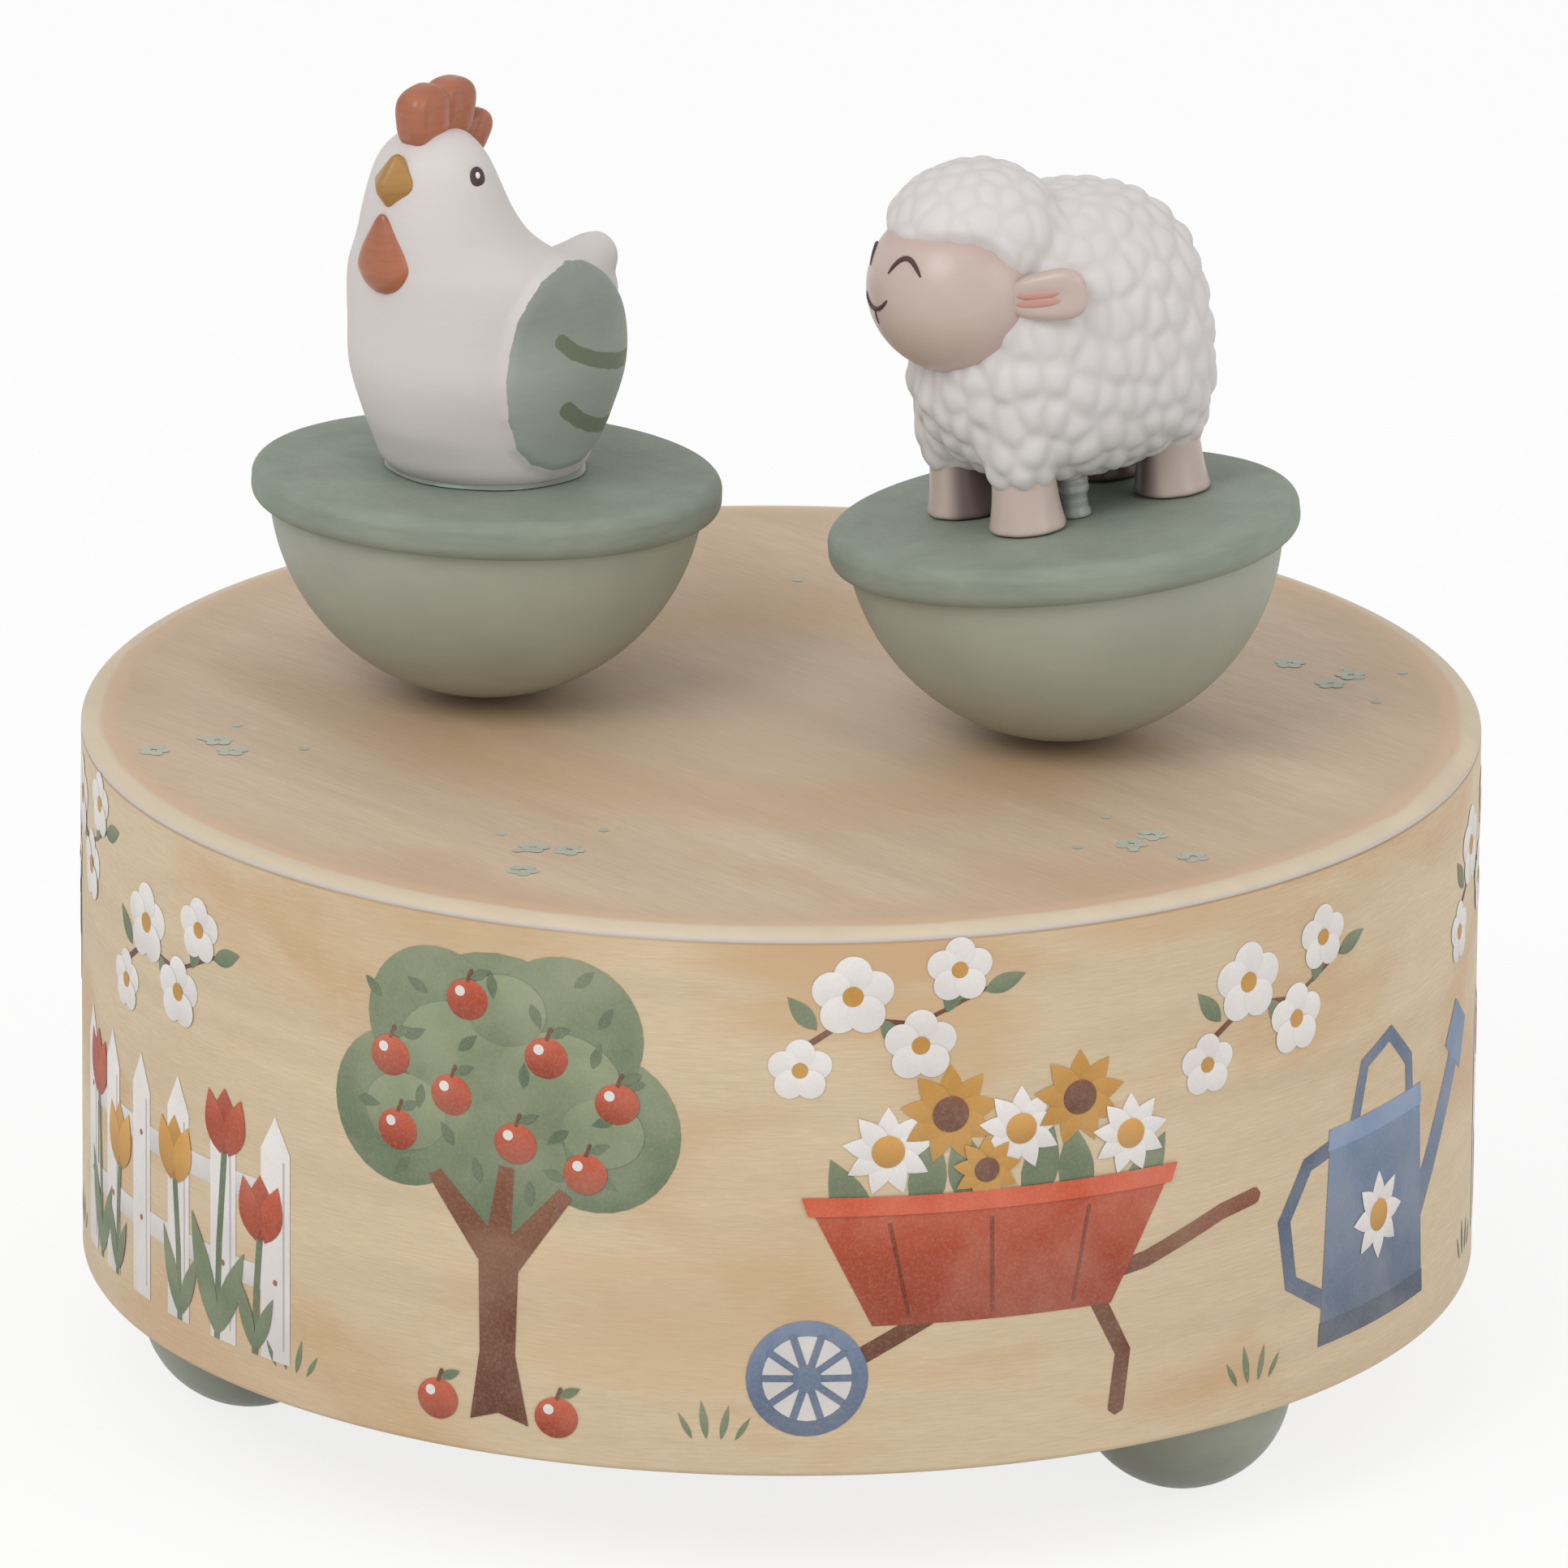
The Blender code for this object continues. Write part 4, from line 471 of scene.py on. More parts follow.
def arc(centre, radius, start, end, steps):
    """Points on an arc, its angles in degrees, both ends included."""
    points = []
    for index in range(steps + 1):
        turn = math.radians(start + (end - start) * index / steps)
        points.append((centre[0] + radius * math.cos(turn), centre[1] + radius * math.sin(turn)))
    return points


def globe(half, place=(0.0, 0.0, 0.0), turn=None, columns=48, rows=32, square=1.0):
    """A bmesh ellipsoid. A squareness below one fills it out towards a box."""
    bm = bmesh.new()
    bmesh.ops.create_uvsphere(bm, u_segments=columns, v_segments=rows, radius=1.0)
    if square != 1.0:
        for vert in bm.verts:
            vert.co = Vector([math.copysign(abs(part) ** square, part) for part in vert.co])
    bmesh.ops.scale(bm, vec=half, verts=bm.verts)
    if turn is not None:
        bmesh.ops.rotate(bm, verts=bm.verts, matrix=turn)
    bmesh.ops.translate(bm, verts=bm.verts, vec=place)
    return bm


def merged(parts):
    """Several bmeshes in one."""
    whole = bmesh.new()
    for part in parts:
        mesh = bpy.data.meshes.new("part")
        part.to_mesh(mesh)
        part.free()
        whole.from_mesh(mesh)
        bpy.data.meshes.remove(mesh)
    return whole


def smoothed(bm, verts, times, factor=0.5):
    for _ in range(times):
        bmesh.ops.smooth_vert(bm, verts=verts, factor=factor, use_axis_x=True, use_axis_y=True,
                              use_axis_z=True)


def skinned(parts, voxel, smooth=0):
    """The outer skin of overlapping closed shapes, as one even mesh, smoothed a number of times."""
    whole = merged(parts)
    mesh = bpy.data.meshes.new("skin")
    whole.to_mesh(mesh)
    whole.free()
    block = bpy.data.objects.new("skin", mesh)
    bpy.context.scene.collection.objects.link(block)
    remesh = block.modifiers.new("skin", "REMESH")
    remesh.mode = "VOXEL"
    remesh.voxel_size = voxel
    skin = bmesh.new()
    skin.from_object(block, bpy.context.evaluated_depsgraph_get())
    bpy.data.objects.remove(block)
    bpy.data.meshes.remove(mesh)
    smoothed(skin, skin.verts, smooth)
    bmesh.ops.recalc_face_normals(skin, faces=skin.faces)
    return skin


def placed(bm, matrix):
    bmesh.ops.transform(bm, matrix=matrix, verts=bm.verts)
    return bm


def sided(place, side):
    """A place on a figure's left, or its twin on the right for a side of -1."""
    return Vector((place[0], side * place[1], place[2]))


def tumbler_matrix(name):
    """From a tumbler's own frame, its origin at the ball's centre, to the row frame."""
    centre = Vector(JOINTS[f"{name}_rock"]["pos_m"])
    lean = Vector((0.0, 0.0, 1.0)).rotation_difference(Vector(JOINTS[f"{name}_turn"]["axis"]))
    return Matrix.Translation(centre) @ lean.to_matrix().to_4x4()


def figure_matrix(name, heading, shift=0.0):
    """From a figure's own frame to the row frame."""
    tumbler = bpy.context.scene.music_tumbler
    forward = Matrix.Rotation(-math.pi / 2 - heading, 4, "Z")
    floor = Matrix.Translation((0.0, 0.0, tumbler.lid_above + tumbler.seat_gap))
    return tumbler_matrix(name) @ floor @ forward @ Matrix.Translation((0.0, -shift, 0.0))


def smoothstep(low, high, value):
    part = min(1.0, max(0.0, (value - low) / (high - low)))
    return part * part * (3.0 - 2.0 * part)


# Drum

DRUM_STEPS = 288         # flats round the drum


def wrap_uv(bm):
    """A UV map in metres: along the drum's side, with its seam at the back, and up it."""
    layer = bm.loops.layers.uv.new("wrap")
    radius = DRUM_HIGH.x
    for face in bm.faces:
        middle = face.calc_center_median()
        towards = math.atan2(middle.x, -middle.y)
        for loop in face.loops:
            turn = math.atan2(loop.vert.co.x, -loop.vert.co.y)
            if abs(turn - towards) > math.pi:
                turn += math.copysign(2 * math.pi, towards)
            loop[layer].uv = (turn * radius, loop.vert.co.z)


# Warm patches of the side's veneer: turn from the front in degrees, height, half width and half
# height in millimetres, strength
WARM_PATCHES = (
    (6.0, 40.5, 12.0, 5.0, 0.75), (14.5, 35.0, 7.0, 7.5, 0.55), (33.0, 42.5, 12.0, 2.6, 0.55),
    (-27.0, 42.0, 13.0, 3.2, 0.45), (-6.0, 12.0, 17.0, 5.0, 0.4), (-150.0, 30.0, 16.0, 7.0, 0.6),
    (112.0, 14.0, 15.0, 5.0, 0.5),
)


def warm_patches(tree, tint, flame, wood):
    """Lay the warm patches over a tint, their edges drawn out along the grain."""
    waver = centred(tree, wood["Streaks"], 2.4)
    for turn, height, wide, tall, strength in WARM_PATCHES:
        across = math.radians(turn) * DRUM_HIGH.x / MM
        up = DRUM_LOW.z / MM + height
        spot = add(tree, "ShaderNodeMapping", {
            "Vector": side_vector(tree), "Scale": (1 / wide, 1 / tall, 0.0),
            "Location": (-across / wide, -up / tall, 0.0),
        }).outputs[0]
        away = add(tree, "ShaderNodeVectorMath", {0: spot}, operation="LENGTH").outputs["Value"]
        near = ramp(tree, maths(tree, "ADD", away, waver), 0.35, 1.25, strength, 0.0, smooth=True)
        tint = mixed(tree, near, tint, linear(flame))
    return tint


class MUSICBOX_OT_drum(bpy.types.Operator):
    """Veneered side wall and top board, and the wood of the bottom board"""
    bl_idname = "musicbox.drum"
    bl_label = "Drum"

    def execute(self, context):
        drum = context.scene.music_drum
        radius = DRUM_HIGH.x
        inner = radius - drum.wall
        step = radius - drum.wall + drum.rebate
        low = DRUM_LOW.z
        seam = TOP_HIGH.z - drum.edge_band
        shelf = low + drum.rebate_depth
        round_low = 0.5 * MM
        wall = lathe([
            *arc((radius - round_low, low + round_low), round_low, -90, 0, 4),
            (radius, seam), (inner, seam), (inner, shelf), (step, shelf), (step, low),
        ], DRUM_STEPS)
        wrap_uv(wall)

        def joint_line(tree, tint, wood):
            tint = warm_patches(tree, tint, drum.side_flame, wood)
            up = add(tree, "ShaderNodeSeparateXYZ", {0: side_vector(tree)}).outputs["Y"]
            line = ramp(tree, up, seam / MM - 0.16, seam / MM - 0.10)
            line = maths(tree, "MULTIPLY", line, ramp(tree, wood["Streaks"], 0.35, 0.6, 0.25, 0.9))
            return mixed(tree, line, tint, linear(toned(drum.side_flame, 0.86)))

        side = wood_material("side_veneer", drum.side, drum.side_flame, side_vector, finish=joint_line)
        piece("side_veneer", wall, side, "case", ["side_wall"])

        high = TOP_HIGH.z
        drop = drum.edge_drop / drum.edge_inset
        spigot = inner - 0.3 * MM
        rim = [(radius - drum.edge_inset + out, high - drum.edge_drop + up * drop)
               for out, up in arc((0.0, 0.0), drum.edge_inset, 0, 90, 12)]
        board = lathe([
            (0.0, high - drum.top_thickness), (spigot, high - drum.top_thickness),
            (spigot, high - drum.edge_band), (radius - 0.05 * MM, high - drum.edge_band), *rim,
            (radius - 9 * MM, high), (0.0, high),
        ], DRUM_STEPS)

        def top_vector(tree):
            turned = add(tree, "ShaderNodeMapping", {
                "Vector": object_vector(tree), "Rotation": (0.0, 0.0, -drum.grain_turn),
            })
            return turned.outputs[0]

        def pale_rim_and_painted_light(tree, tint, wood):
            parts = add(tree, "ShaderNodeSeparateXYZ", {0: object_vector(tree)}).outputs
            squares = [maths(tree, "MULTIPLY", parts[axis], parts[axis]) for axis in ("X", "Y")]
            away = maths(tree, "SQRT", maths(tree, "ADD", *squares))
            # Painted light: the middle of the top board is lightened, fading out by 26 mm from the middle.
            middle = ramp(tree, away, 4.0, 26.0, 0.5, 0.0, smooth=True)
            tint = mixed(tree, middle, tint, linear(toned(drum.top, 1.06)))
            # Painted shade: a warm ring along the tumblers' path stands in for their warm shadow on the wood.
            off_track = maths(tree, "ABSOLUTE", maths(tree, "SUBTRACT", away, drum.track / MM))
            wear_and_painted_shade = ramp(tree, off_track, 1.0, 10.0, 0.45, 0.0, smooth=True)
            tint = mixed(tree, wear_and_painted_shade, tint, linear(toned(drum.side_flame, 0.98)))
            edge_mm = (radius - drum.edge_inset) / MM
            near = maths(tree, "ADD", away, centred(tree, wood["Flame"], 5.0))
            wide = ramp(tree, near, edge_mm - 8.0, edge_mm - 1.0, 0.0, 0.45, smooth=True)
            tint = mixed(tree, wide, tint, linear(drum.top_flame))
            near = maths(tree, "ADD", away, centred(tree, wood["Flame"], 2.0))
            fringe = ramp(tree, near, edge_mm - 2.0, edge_mm - 0.6, 0.0, 0.6, smooth=True)
            tint = mixed(tree, fringe, tint, linear(drum.glow))
            soft = maths(tree, "ADD", away, centred(tree, wood["Streaks"], 1.4))
            rim = ramp(tree, soft, edge_mm - 0.3, edge_mm + 0.4, 0.0, 0.85, smooth=True)
            pale = mixed(tree, ramp(tree, wood["Streaks"], 0.35, 0.65), linear(drum.edge),
                         linear(toned(drum.edge, 0.96)))
            tint = mixed(tree, rim, tint, pale)
            lip = maths(tree, "ADD", parts["Z"], centred(tree, wood["Flame"], 0.25))
            filled = ramp(tree, lip, high / MM - 0.62, high / MM - 0.42, 0.85, 0.0, smooth=True)
            return mixed(tree, filled, tint, linear(drum.filler))

        top = wood_material("top_veneer", drum.top, drum.top_flame, top_vector, size=0.8, finish=pale_rim_and_painted_light)
        piece("top_veneer", board, top, "case", ["top_board"])
        bare = wood_material("bare_plywood", drum.board, drum.side_flame, object_vector, size=1.2)
        dress("board_wood", bare)
        return {"FINISHED"}


def dress(slot, look):
    """Give a material to every CAD node of one slot of the record."""
    for part in frame["record"]["subparts"]:
        if part["material_slot"] == slot:
            for place in frame["nodes"][part["node"]].material_slots:
                place.material = look


class MUSICBOX_OT_feet(bpy.types.Operator):
    """Three painted half-ball feet"""
    bl_idname = "musicbox.feet"
    bl_label = "Feet"

    def execute(self, context):
        look = paint_material("sage_foot", context.scene.music_tumbler.foot, rough=0.42, drag=0.5)
        ball = 8.55 * MM
        flat = 1.8 * MM
        centre = math.sqrt(ball ** 2 - flat ** 2)
        for number in (1, 2, 3):
            node = f"foot_{number}"
            low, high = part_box(node)
            start = math.degrees(math.atan2(-centre, flat))
            end = math.degrees(math.asin((high.z - centre) / ball))
            foot = lathe([(0.0, 0.0), *arc((0.0, centre), ball, start, end, 24), (0.0, high.z)], 64)
            middle = (low + high) / 2
            placed(foot, Matrix.Translation((middle.x, middle.y, 0.0)))
            piece(f"painted_foot_{number}", foot, look, "case", [node])
        return {"FINISHED"}


# Print

class Ink:
    """Flat shapes in millimetres that are bent round the drum, or laid on its top, as layers of ink."""

    def __init__(self):
        self.bm = bmesh.new()
        self.tint = self.bm.loops.layers.float_color.new("ink")
        self.boxes = []

    def fill(self, outline, low, high=None):
        """Fill an outline of (across, up) points, shaded from a low colour to a high one."""
        high = low if high is None else high
        columns, rows = zip(*outline)
        own = (min(columns), min(rows), max(columns), max(rows))
        under = [layer for left, bottom, right, top, layer in self.boxes
                 if left < own[2] and own[0] < right and bottom < own[3] and own[1] < top]
        self.boxes.append((*own, max(under, default=0) + 1))
        bottom = own[1]
        reach = max(own[3] - bottom, 0.001)
        verts = [self.bm.verts.new((x, y, self.boxes[-1][4])) for x, y in outline]
        edges = [self.bm.edges.new((verts[index - 1], verts[index])) for index in range(len(verts))]
        filled = bmesh.ops.triangle_fill(self.bm, edges=edges, use_beauty=True)
        for face in [item for item in filled["geom"] if isinstance(item, bmesh.types.BMFace)]:
            for loop in face.loops:
                up = (loop.vert.co.y - bottom) / reach
                loop[self.tint] = linear([a + (b - a) * up for a, b in zip(low, high)])

    def dot(self, x, y, radius, *tints, tall=1.0, sides=28):
        ring = arc((0, 0), radius, 0, 360 - 360 / sides, sides - 1)
        self.fill([(x + px, y + py * tall) for px, py in ring], *tints)

    def leaf(self, x, y, size, lean, *tints, width=0.42):
        """A pointed leaf from its root, leaning by an angle in degrees from upright."""
        turn = math.radians(lean)
        half = []
        for index in range(9):
            along = index / 8
            half.append((math.sin(math.pi * along ** 0.85) * size * width / 2, along * size))
        shape = half + [(-side, up) for side, up in half[-2:0:-1]]
        cosine, sine = math.cos(turn), math.sin(turn)
        self.fill([
            (x + side * cosine + up * sine, y - side * sine + up * cosine) for side, up in shape
        ], *tints)

    def stroke(self, points, width, *tints, taper=1.0):
        """A round-ended line through points, its far end narrowed by the taper."""
        left, right = [], []
        last = len(points) - 1
        for index, point in enumerate(points):
            before = Vector(points[max(index - 1, 0)])
            after = Vector(points[min(index + 1, last)])
            along = (after - before).normalized()
            half = width / 2 * (1.0 + (taper - 1.0) * index / last)
            left.append((point[0] - along.y * half, point[1] + along.x * half))
            right.append((point[0] + along.y * half, point[1] - along.x * half))
        end = Vector(points[-1]) - Vector(points[-2])
        heading = math.degrees(math.atan2(end.y, end.x))
        cap = arc(points[-1], width / 2 * taper, heading + 60, heading - 60, 2)
        self.fill(left + cap + right[::-1], *tints)

    def box(self, low, high, *tints, lean=0.0):
        """An upright rectangle whose top is moved sideways by the lean."""
        self.fill([low, (high[0], low[1]), (high[0] + lean, high[1]), (low[0] + lean, high[1])], *tints)

    def finish(self, name, look, around=None, base=0.0, scale=1.0):
        """Bend the shapes round the drum at an angle in degrees, their foot at a height over its edge."""
        settings = bpy.context.scene.music_print
        bmesh.ops.scale(self.bm, vec=(scale, scale, 1.0), verts=self.bm.verts)
        reach = max((abs(vert.co.x) for vert in self.bm.verts), default=0.0)
        facet = settings.facet / MM
        for index in range(-int(reach / facet), int(reach / facet) + 1):
            bmesh.ops.bisect_plane(self.bm, geom=self.bm.verts[:] + self.bm.edges[:] + self.bm.faces[:],
                                   dist=0.0001, plane_co=(index * facet, 0, 0), plane_no=(1, 0, 0))
        radius = DRUM_HIGH.x
        for vert in self.bm.verts:
            lift = settings.lift + settings.layer * vert.co.z
            if around is None:
                vert.co = Vector((vert.co.x * MM, vert.co.y * MM, TOP_HIGH.z + lift))
                continue
            turn = math.radians(around) + vert.co.x * MM / radius
            out = radius + lift
            vert.co = Vector((
                out * math.sin(turn), -out * math.cos(turn), DRUM_LOW.z + base * MM + vert.co.y * MM))
        bmesh.ops.recalc_face_normals(self.bm, faces=self.bm.faces)
        for face in self.bm.faces:
            middle = face.calc_center_median()
            outward = Vector((0, 0, 1)) if around is None else Vector((middle.x, middle.y, 0.0))
            if face.normal.dot(outward) < 0:
                face.normal_flip()
        return piece(name, self.bm, look, "case", sharp=180.0)


def ink_material():
    def build(tree, shader):
        tint = add(tree, "ShaderNodeVertexColor", layer_name="ink").outputs["Color"]
        vector = object_vector(tree)
        wash_and_painted_shade = noise(tree, vector, 0.16, 3.0, 0.5)
        speck = noise(tree, vector, 4.0, 3.0, 0.65)
        tint = mixed(tree, ramp(tree, wash_and_painted_shade, 0.4, 0.75, 0.0, 0.14), tint, linear((0.86, 0.80, 0.72)))
        tint = mixed(
            tree, ramp(tree, wash_and_painted_shade, 0.6, 0.25, 0.0, 0.22), tint, linear((0.62, 0.56, 0.54)), "MULTIPLY")
        tint = mixed(tree, ramp(tree, speck, 0.45, 0.75, 0.0, 0.16), tint, linear((0.80, 0.72, 0.62)))
        feed(tree, shader, Base_Color=tint, Specular_IOR_Level=0.3,
             Roughness=ramp(tree, speck, 0.3, 0.7, 0.5, 0.62))
    return material("printed_ink", build)


def draw_apple_tree(ink, inks):
    """A round-headed tree with red fruit."""
    trunk = [(-1.9, 0.0), (-1.2, 5.0), (-1.3, 11.5), (-5.2, 17.0), (-4.2, 17.6), (-0.6, 14.0), (0.2, 18.5),
             (1.3, 18.4), (1.1, 13.6), (4.6, 17.4), (5.5, 16.7), (1.6, 11.0), (1.4, 5.0), (2.4, 0.0),
             (0.2, 0.7)]
    crown = ((0.0, 25.0, 8.6), (-7.2, 21.5, 5.6), (7.2, 21.7, 5.8), (-4.6, 28.0, 5.4), (4.8, 28.3, 5.6),
             (0.0, 18.6, 5.2))
    for x, y, radius in crown:
        ink.dot(x, y, radius, toned(inks.leaf, 1.0), toned(inks.sage, 1.05), sides=32)
    ink.fill(trunk, toned(inks.brown, 0.95), toned(inks.brown, 1.2))
    for x, y, radius in ((-3.2, 26.0, 4.3), (4.4, 24.6, 4.6), (-7.0, 21.2, 3.2), (7.6, 21.6, 2.9),
                         (0.6, 29.6, 3.0)):
        ink.dot(x, y, radius, toned(inks.sage, 0.98), toned(inks.sage, 1.13), tall=0.85, sides=28)
    for index in range(26):
        turn = index * 2.4
        away = 2.0 + 9.6 * math.sqrt(index / 26)
        ink.leaf(away * math.cos(turn), 24.2 + away * 0.78 * math.sin(turn), 1.9, index * 47 % 360,
                 toned(inks.leaf, 0.95))
    for x, y in ((-7.6, 19.8), (-3.4, 23.0), (1.4, 20.2), (6.4, 18.6), (8.6, 23.8), (3.6, 26.6),
                 (-2.2, 30.0), (-8.2, 25.0), (-4.4, 1.0), (4.4, 0.9)):
        draw_apple(ink, inks, x, y, 1.55)


def draw_apple(ink, inks, x, y, size):
    ink.dot(x, y, size, toned(inks.rust, 0.86), toned(inks.rust, 1.18), tall=0.94)
    ink.dot(x - size * 0.35, y + size * 0.36, size * 0.24, toned(inks.white, 0.98))
    ink.stroke([(x, y + size * 0.8), (x + size * 0.2, y + size * 1.35)], size * 0.18, inks.brown)
    ink.leaf(x + size * 0.15, y + size * 1.0, size * 1.05, 65, inks.leaf)


def draw_barrow(ink, inks):
    """A red wheelbarrow full of flowers."""
    for x, y, lean in ((-7.5, 12.5, -24), (-4.5, 13.5, 8), (-1.5, 13.8, -10), (1.8, 13.6, 14),
                       (4.8, 13.2, -6), (7.6, 12.4, 30)):
        ink.leaf(x, y - 1.0, 5.2, lean, toned(inks.leaf, 0.95), inks.sage)
    for x, y, size, kind in ((-6.4, 16.6, 2.6, 0), (-2.9, 18.6, 2.9, 1), (1.2, 17.4, 2.5, 0),
                             (4.7, 18.8, 2.8, 1), (7.9, 16.2, 2.4, 0), (-0.8, 15.2, 2.0, 1)):
        draw_flower(ink, inks, x, y, size, inks.white if kind == 0 else inks.mustard,
                    inks.mustard if kind == 0 else inks.brown)
    ink.stroke([(3.0, 7.6), (9.0, 8.6), (14.2, 10.4), (16.6, 10.8)], 1.0, inks.brown, toned(inks.brown, 1.3))
    ink.stroke([(6.0, 6.6), (7.6, 3.4), (7.2, 0.2)], 1.0, inks.brown)
    ink.stroke([(-4.0, 6.8), (-8.6, 4.2), (-10.8, 3.4)], 1.0, inks.brown)
    ink.fill([(-10.6, 13.2), (-7.2, 6.4), (6.8, 6.4), (10.4, 13.2)],
             toned(inks.rust, 0.88), toned(inks.rust, 1.08))
    ink.fill([(-11.2, 14.0), (-10.8, 12.9), (10.6, 12.9), (11.0, 14.0)], toned(inks.rust, 1.22))
    for x in (-5.6, -0.4, 4.8):
        ink.stroke([(x * 1.12, 12.4), (x * 0.92, 6.9)], 0.22, toned(inks.rust, 0.72))
    ink.dot(-10.8, 3.4, 3.4, toned(inks.slate, 0.86), toned(inks.slate, 1.08), sides=36)
    ink.dot(-10.8, 3.4, 2.5, toned(inks.white, 0.93), sides=32)
    for turn in range(0, 180, 36):
        x, y = 2.5 * math.cos(math.radians(turn)), 2.5 * math.sin(math.radians(turn))
        ink.stroke([(-10.8 - x, 3.4 - y), (-10.8 + x, 3.4 + y)], 0.42, toned(inks.slate, 0.95))
    ink.dot(-10.8, 3.4, 0.8, inks.slate)


def draw_flower(ink, inks, x, y, size, petal, heart, petals=9):
    for index in range(petals):
        turn = 360 / petals * index
        ink.leaf(x, y, size, turn, toned(petal, 0.94), toned(petal, 1.04), width=0.5)
    ink.dot(x, y, size * 0.36, toned(heart, 0.9), toned(heart, 1.12))


def draw_tulip(ink, inks, x, height, petal, lean=0.0):
    """A cup-shaped flower on a stem with two long leaves."""
    top = (x + lean, height)
    ink.stroke([(x, 0.0), (x + lean * 0.3, height * 0.5), top], 0.55, inks.leaf)
    ink.leaf(x, 0.2, height * 0.62, -20, inks.leaf, inks.sage, width=0.24)
    ink.leaf(x, 0.2, height * 0.52, 24, inks.leaf, inks.sage, width=0.26)
    ink.leaf(top[0], top[1] - 0.6, 4.2, 0, toned(petal, 0.84), toned(petal, 1.05), width=0.62)
    ink.leaf(top[0] - 0.4, top[1] - 0.6, 4.0, -17, toned(petal, 0.92), toned(petal, 1.12), width=0.5)
    ink.leaf(top[0] + 0.4, top[1] - 0.6, 4.0, 17, toned(petal, 0.95), toned(petal, 1.16), width=0.5)


def draw_fence(ink, inks):
    """White pickets with tulips before them."""
    for height in (4.2, 9.6):
        ink.box((-13.2, height), (13.2, height + 1.5), toned(inks.white, 0.88), toned(inks.white, 0.96))
    for index in range(6):
        x = -12.0 + index * 4.8
        ink.fill([(x - 1.25, 0.0), (x + 1.25, 0.0), (x + 1.25, 13.2), (x, 15.4), (x - 1.25, 13.2)],
                 toned(inks.white, 0.93), toned(inks.white, 1.04))
        ink.stroke([(x + 0.72, 0.8), (x + 0.72, 12.6)], 0.14, toned(inks.white, 0.80))
        for height in (4.95, 10.35):
            ink.dot(x, height, 0.2, toned(inks.brown, 1.5), sides=8)
    draw_tulip(ink, inks, -9.7, 10.8, inks.rust, -0.7)
    draw_tulip(ink, inks, -6.4, 7.6, inks.mustard, 0.5)
    draw_tulip(ink, inks, 2.6, 9.2, inks.mustard, -0.6)
    draw_tulip(ink, inks, 6.6, 12.4, inks.rust, 0.8)
    draw_tulip(ink, inks, 10.2, 7.8, inks.rust, 0.5)


def draw_can(ink, inks):
    """A blue watering can."""
    ink.stroke([(-4.0, 11.2), (-6.6, 10.6), (-8.4, 7.8), (-7.8, 4.2), (-4.8, 2.4)], 1.0,
               toned(inks.slate, 0.84))
    ink.stroke([(-2.6, 11.6), (-1.6, 15.0), (1.0, 16.0), (3.2, 13.9), (3.4, 11.6)], 0.9,
               toned(inks.slate, 0.9))
    ink.fill([(4.0, 3.0), (4.6, 6.4), (9.6, 12.6), (11.2, 11.6)],
             toned(inks.slate, 0.86), toned(inks.slate, 1.06))
    ink.fill([(8.6, 12.9), (11.6, 10.7), (13.0, 13.2), (10.6, 15.0)], toned(inks.slate, 1.12))
    ink.fill([(-5.4, 0.0), (5.4, 0.0), (4.7, 11.8), (-4.7, 11.8)],
             toned(inks.slate, 0.84), toned(inks.slate, 1.1))
    ink.fill([(-5.5, 0.0), (5.5, 0.0), (5.4, 1.3), (-5.4, 1.3)], toned(inks.slate, 0.72))
    ink.fill([(-4.9, 10.9), (4.9, 10.9), (4.8, 12.1), (-4.8, 12.1)], toned(inks.slate, 1.22))
    draw_flower(ink, inks, 0.0, 6.0, 2.5, inks.white, inks.mustard, 8)


def draw_blossom(ink, inks):
    """A spray of white blossom with a few leaves."""
    ink.stroke([(-6.4, -1.6), (-2.6, 0.9), (1.6, 0.4), (6.4, 2.6)], 0.45, inks.brown, taper=0.5)
    for x, y, size, lean in ((-4.6, 0.2, 2.8, -40), (-0.6, 0.8, 2.6, 150), (3.4, 1.0, 3.0, 20),
                             (5.8, 2.2, 2.8, 70)):
        ink.leaf(x, y, size, lean, inks.leaf, inks.sage)
    for x, y, size in ((-5.6, -2.4, 2.1), (-2.4, 2.3, 2.7), (1.8, -1.0, 2.4), (4.2, 3.7, 2.2)):
        for index in range(5):
            turn = math.radians(72 * index + 18)
            ink.dot(x + size * 0.52 * math.cos(turn), y + size * 0.52 * math.sin(turn), size * 0.44,
                    toned(inks.white, 0.95), toned(inks.white, 1.03))
        ink.dot(x, y, size * 0.24, inks.mustard)


def draw_grass(ink, inks):
    for x, size, lean in ((-1.6, 2.4, -28), (-0.5, 3.2, -8), (0.6, 2.9, 12), (1.7, 2.2, 32)):
        ink.leaf(x, 0.0, size, lean, inks.leaf, inks.sage, width=0.2)


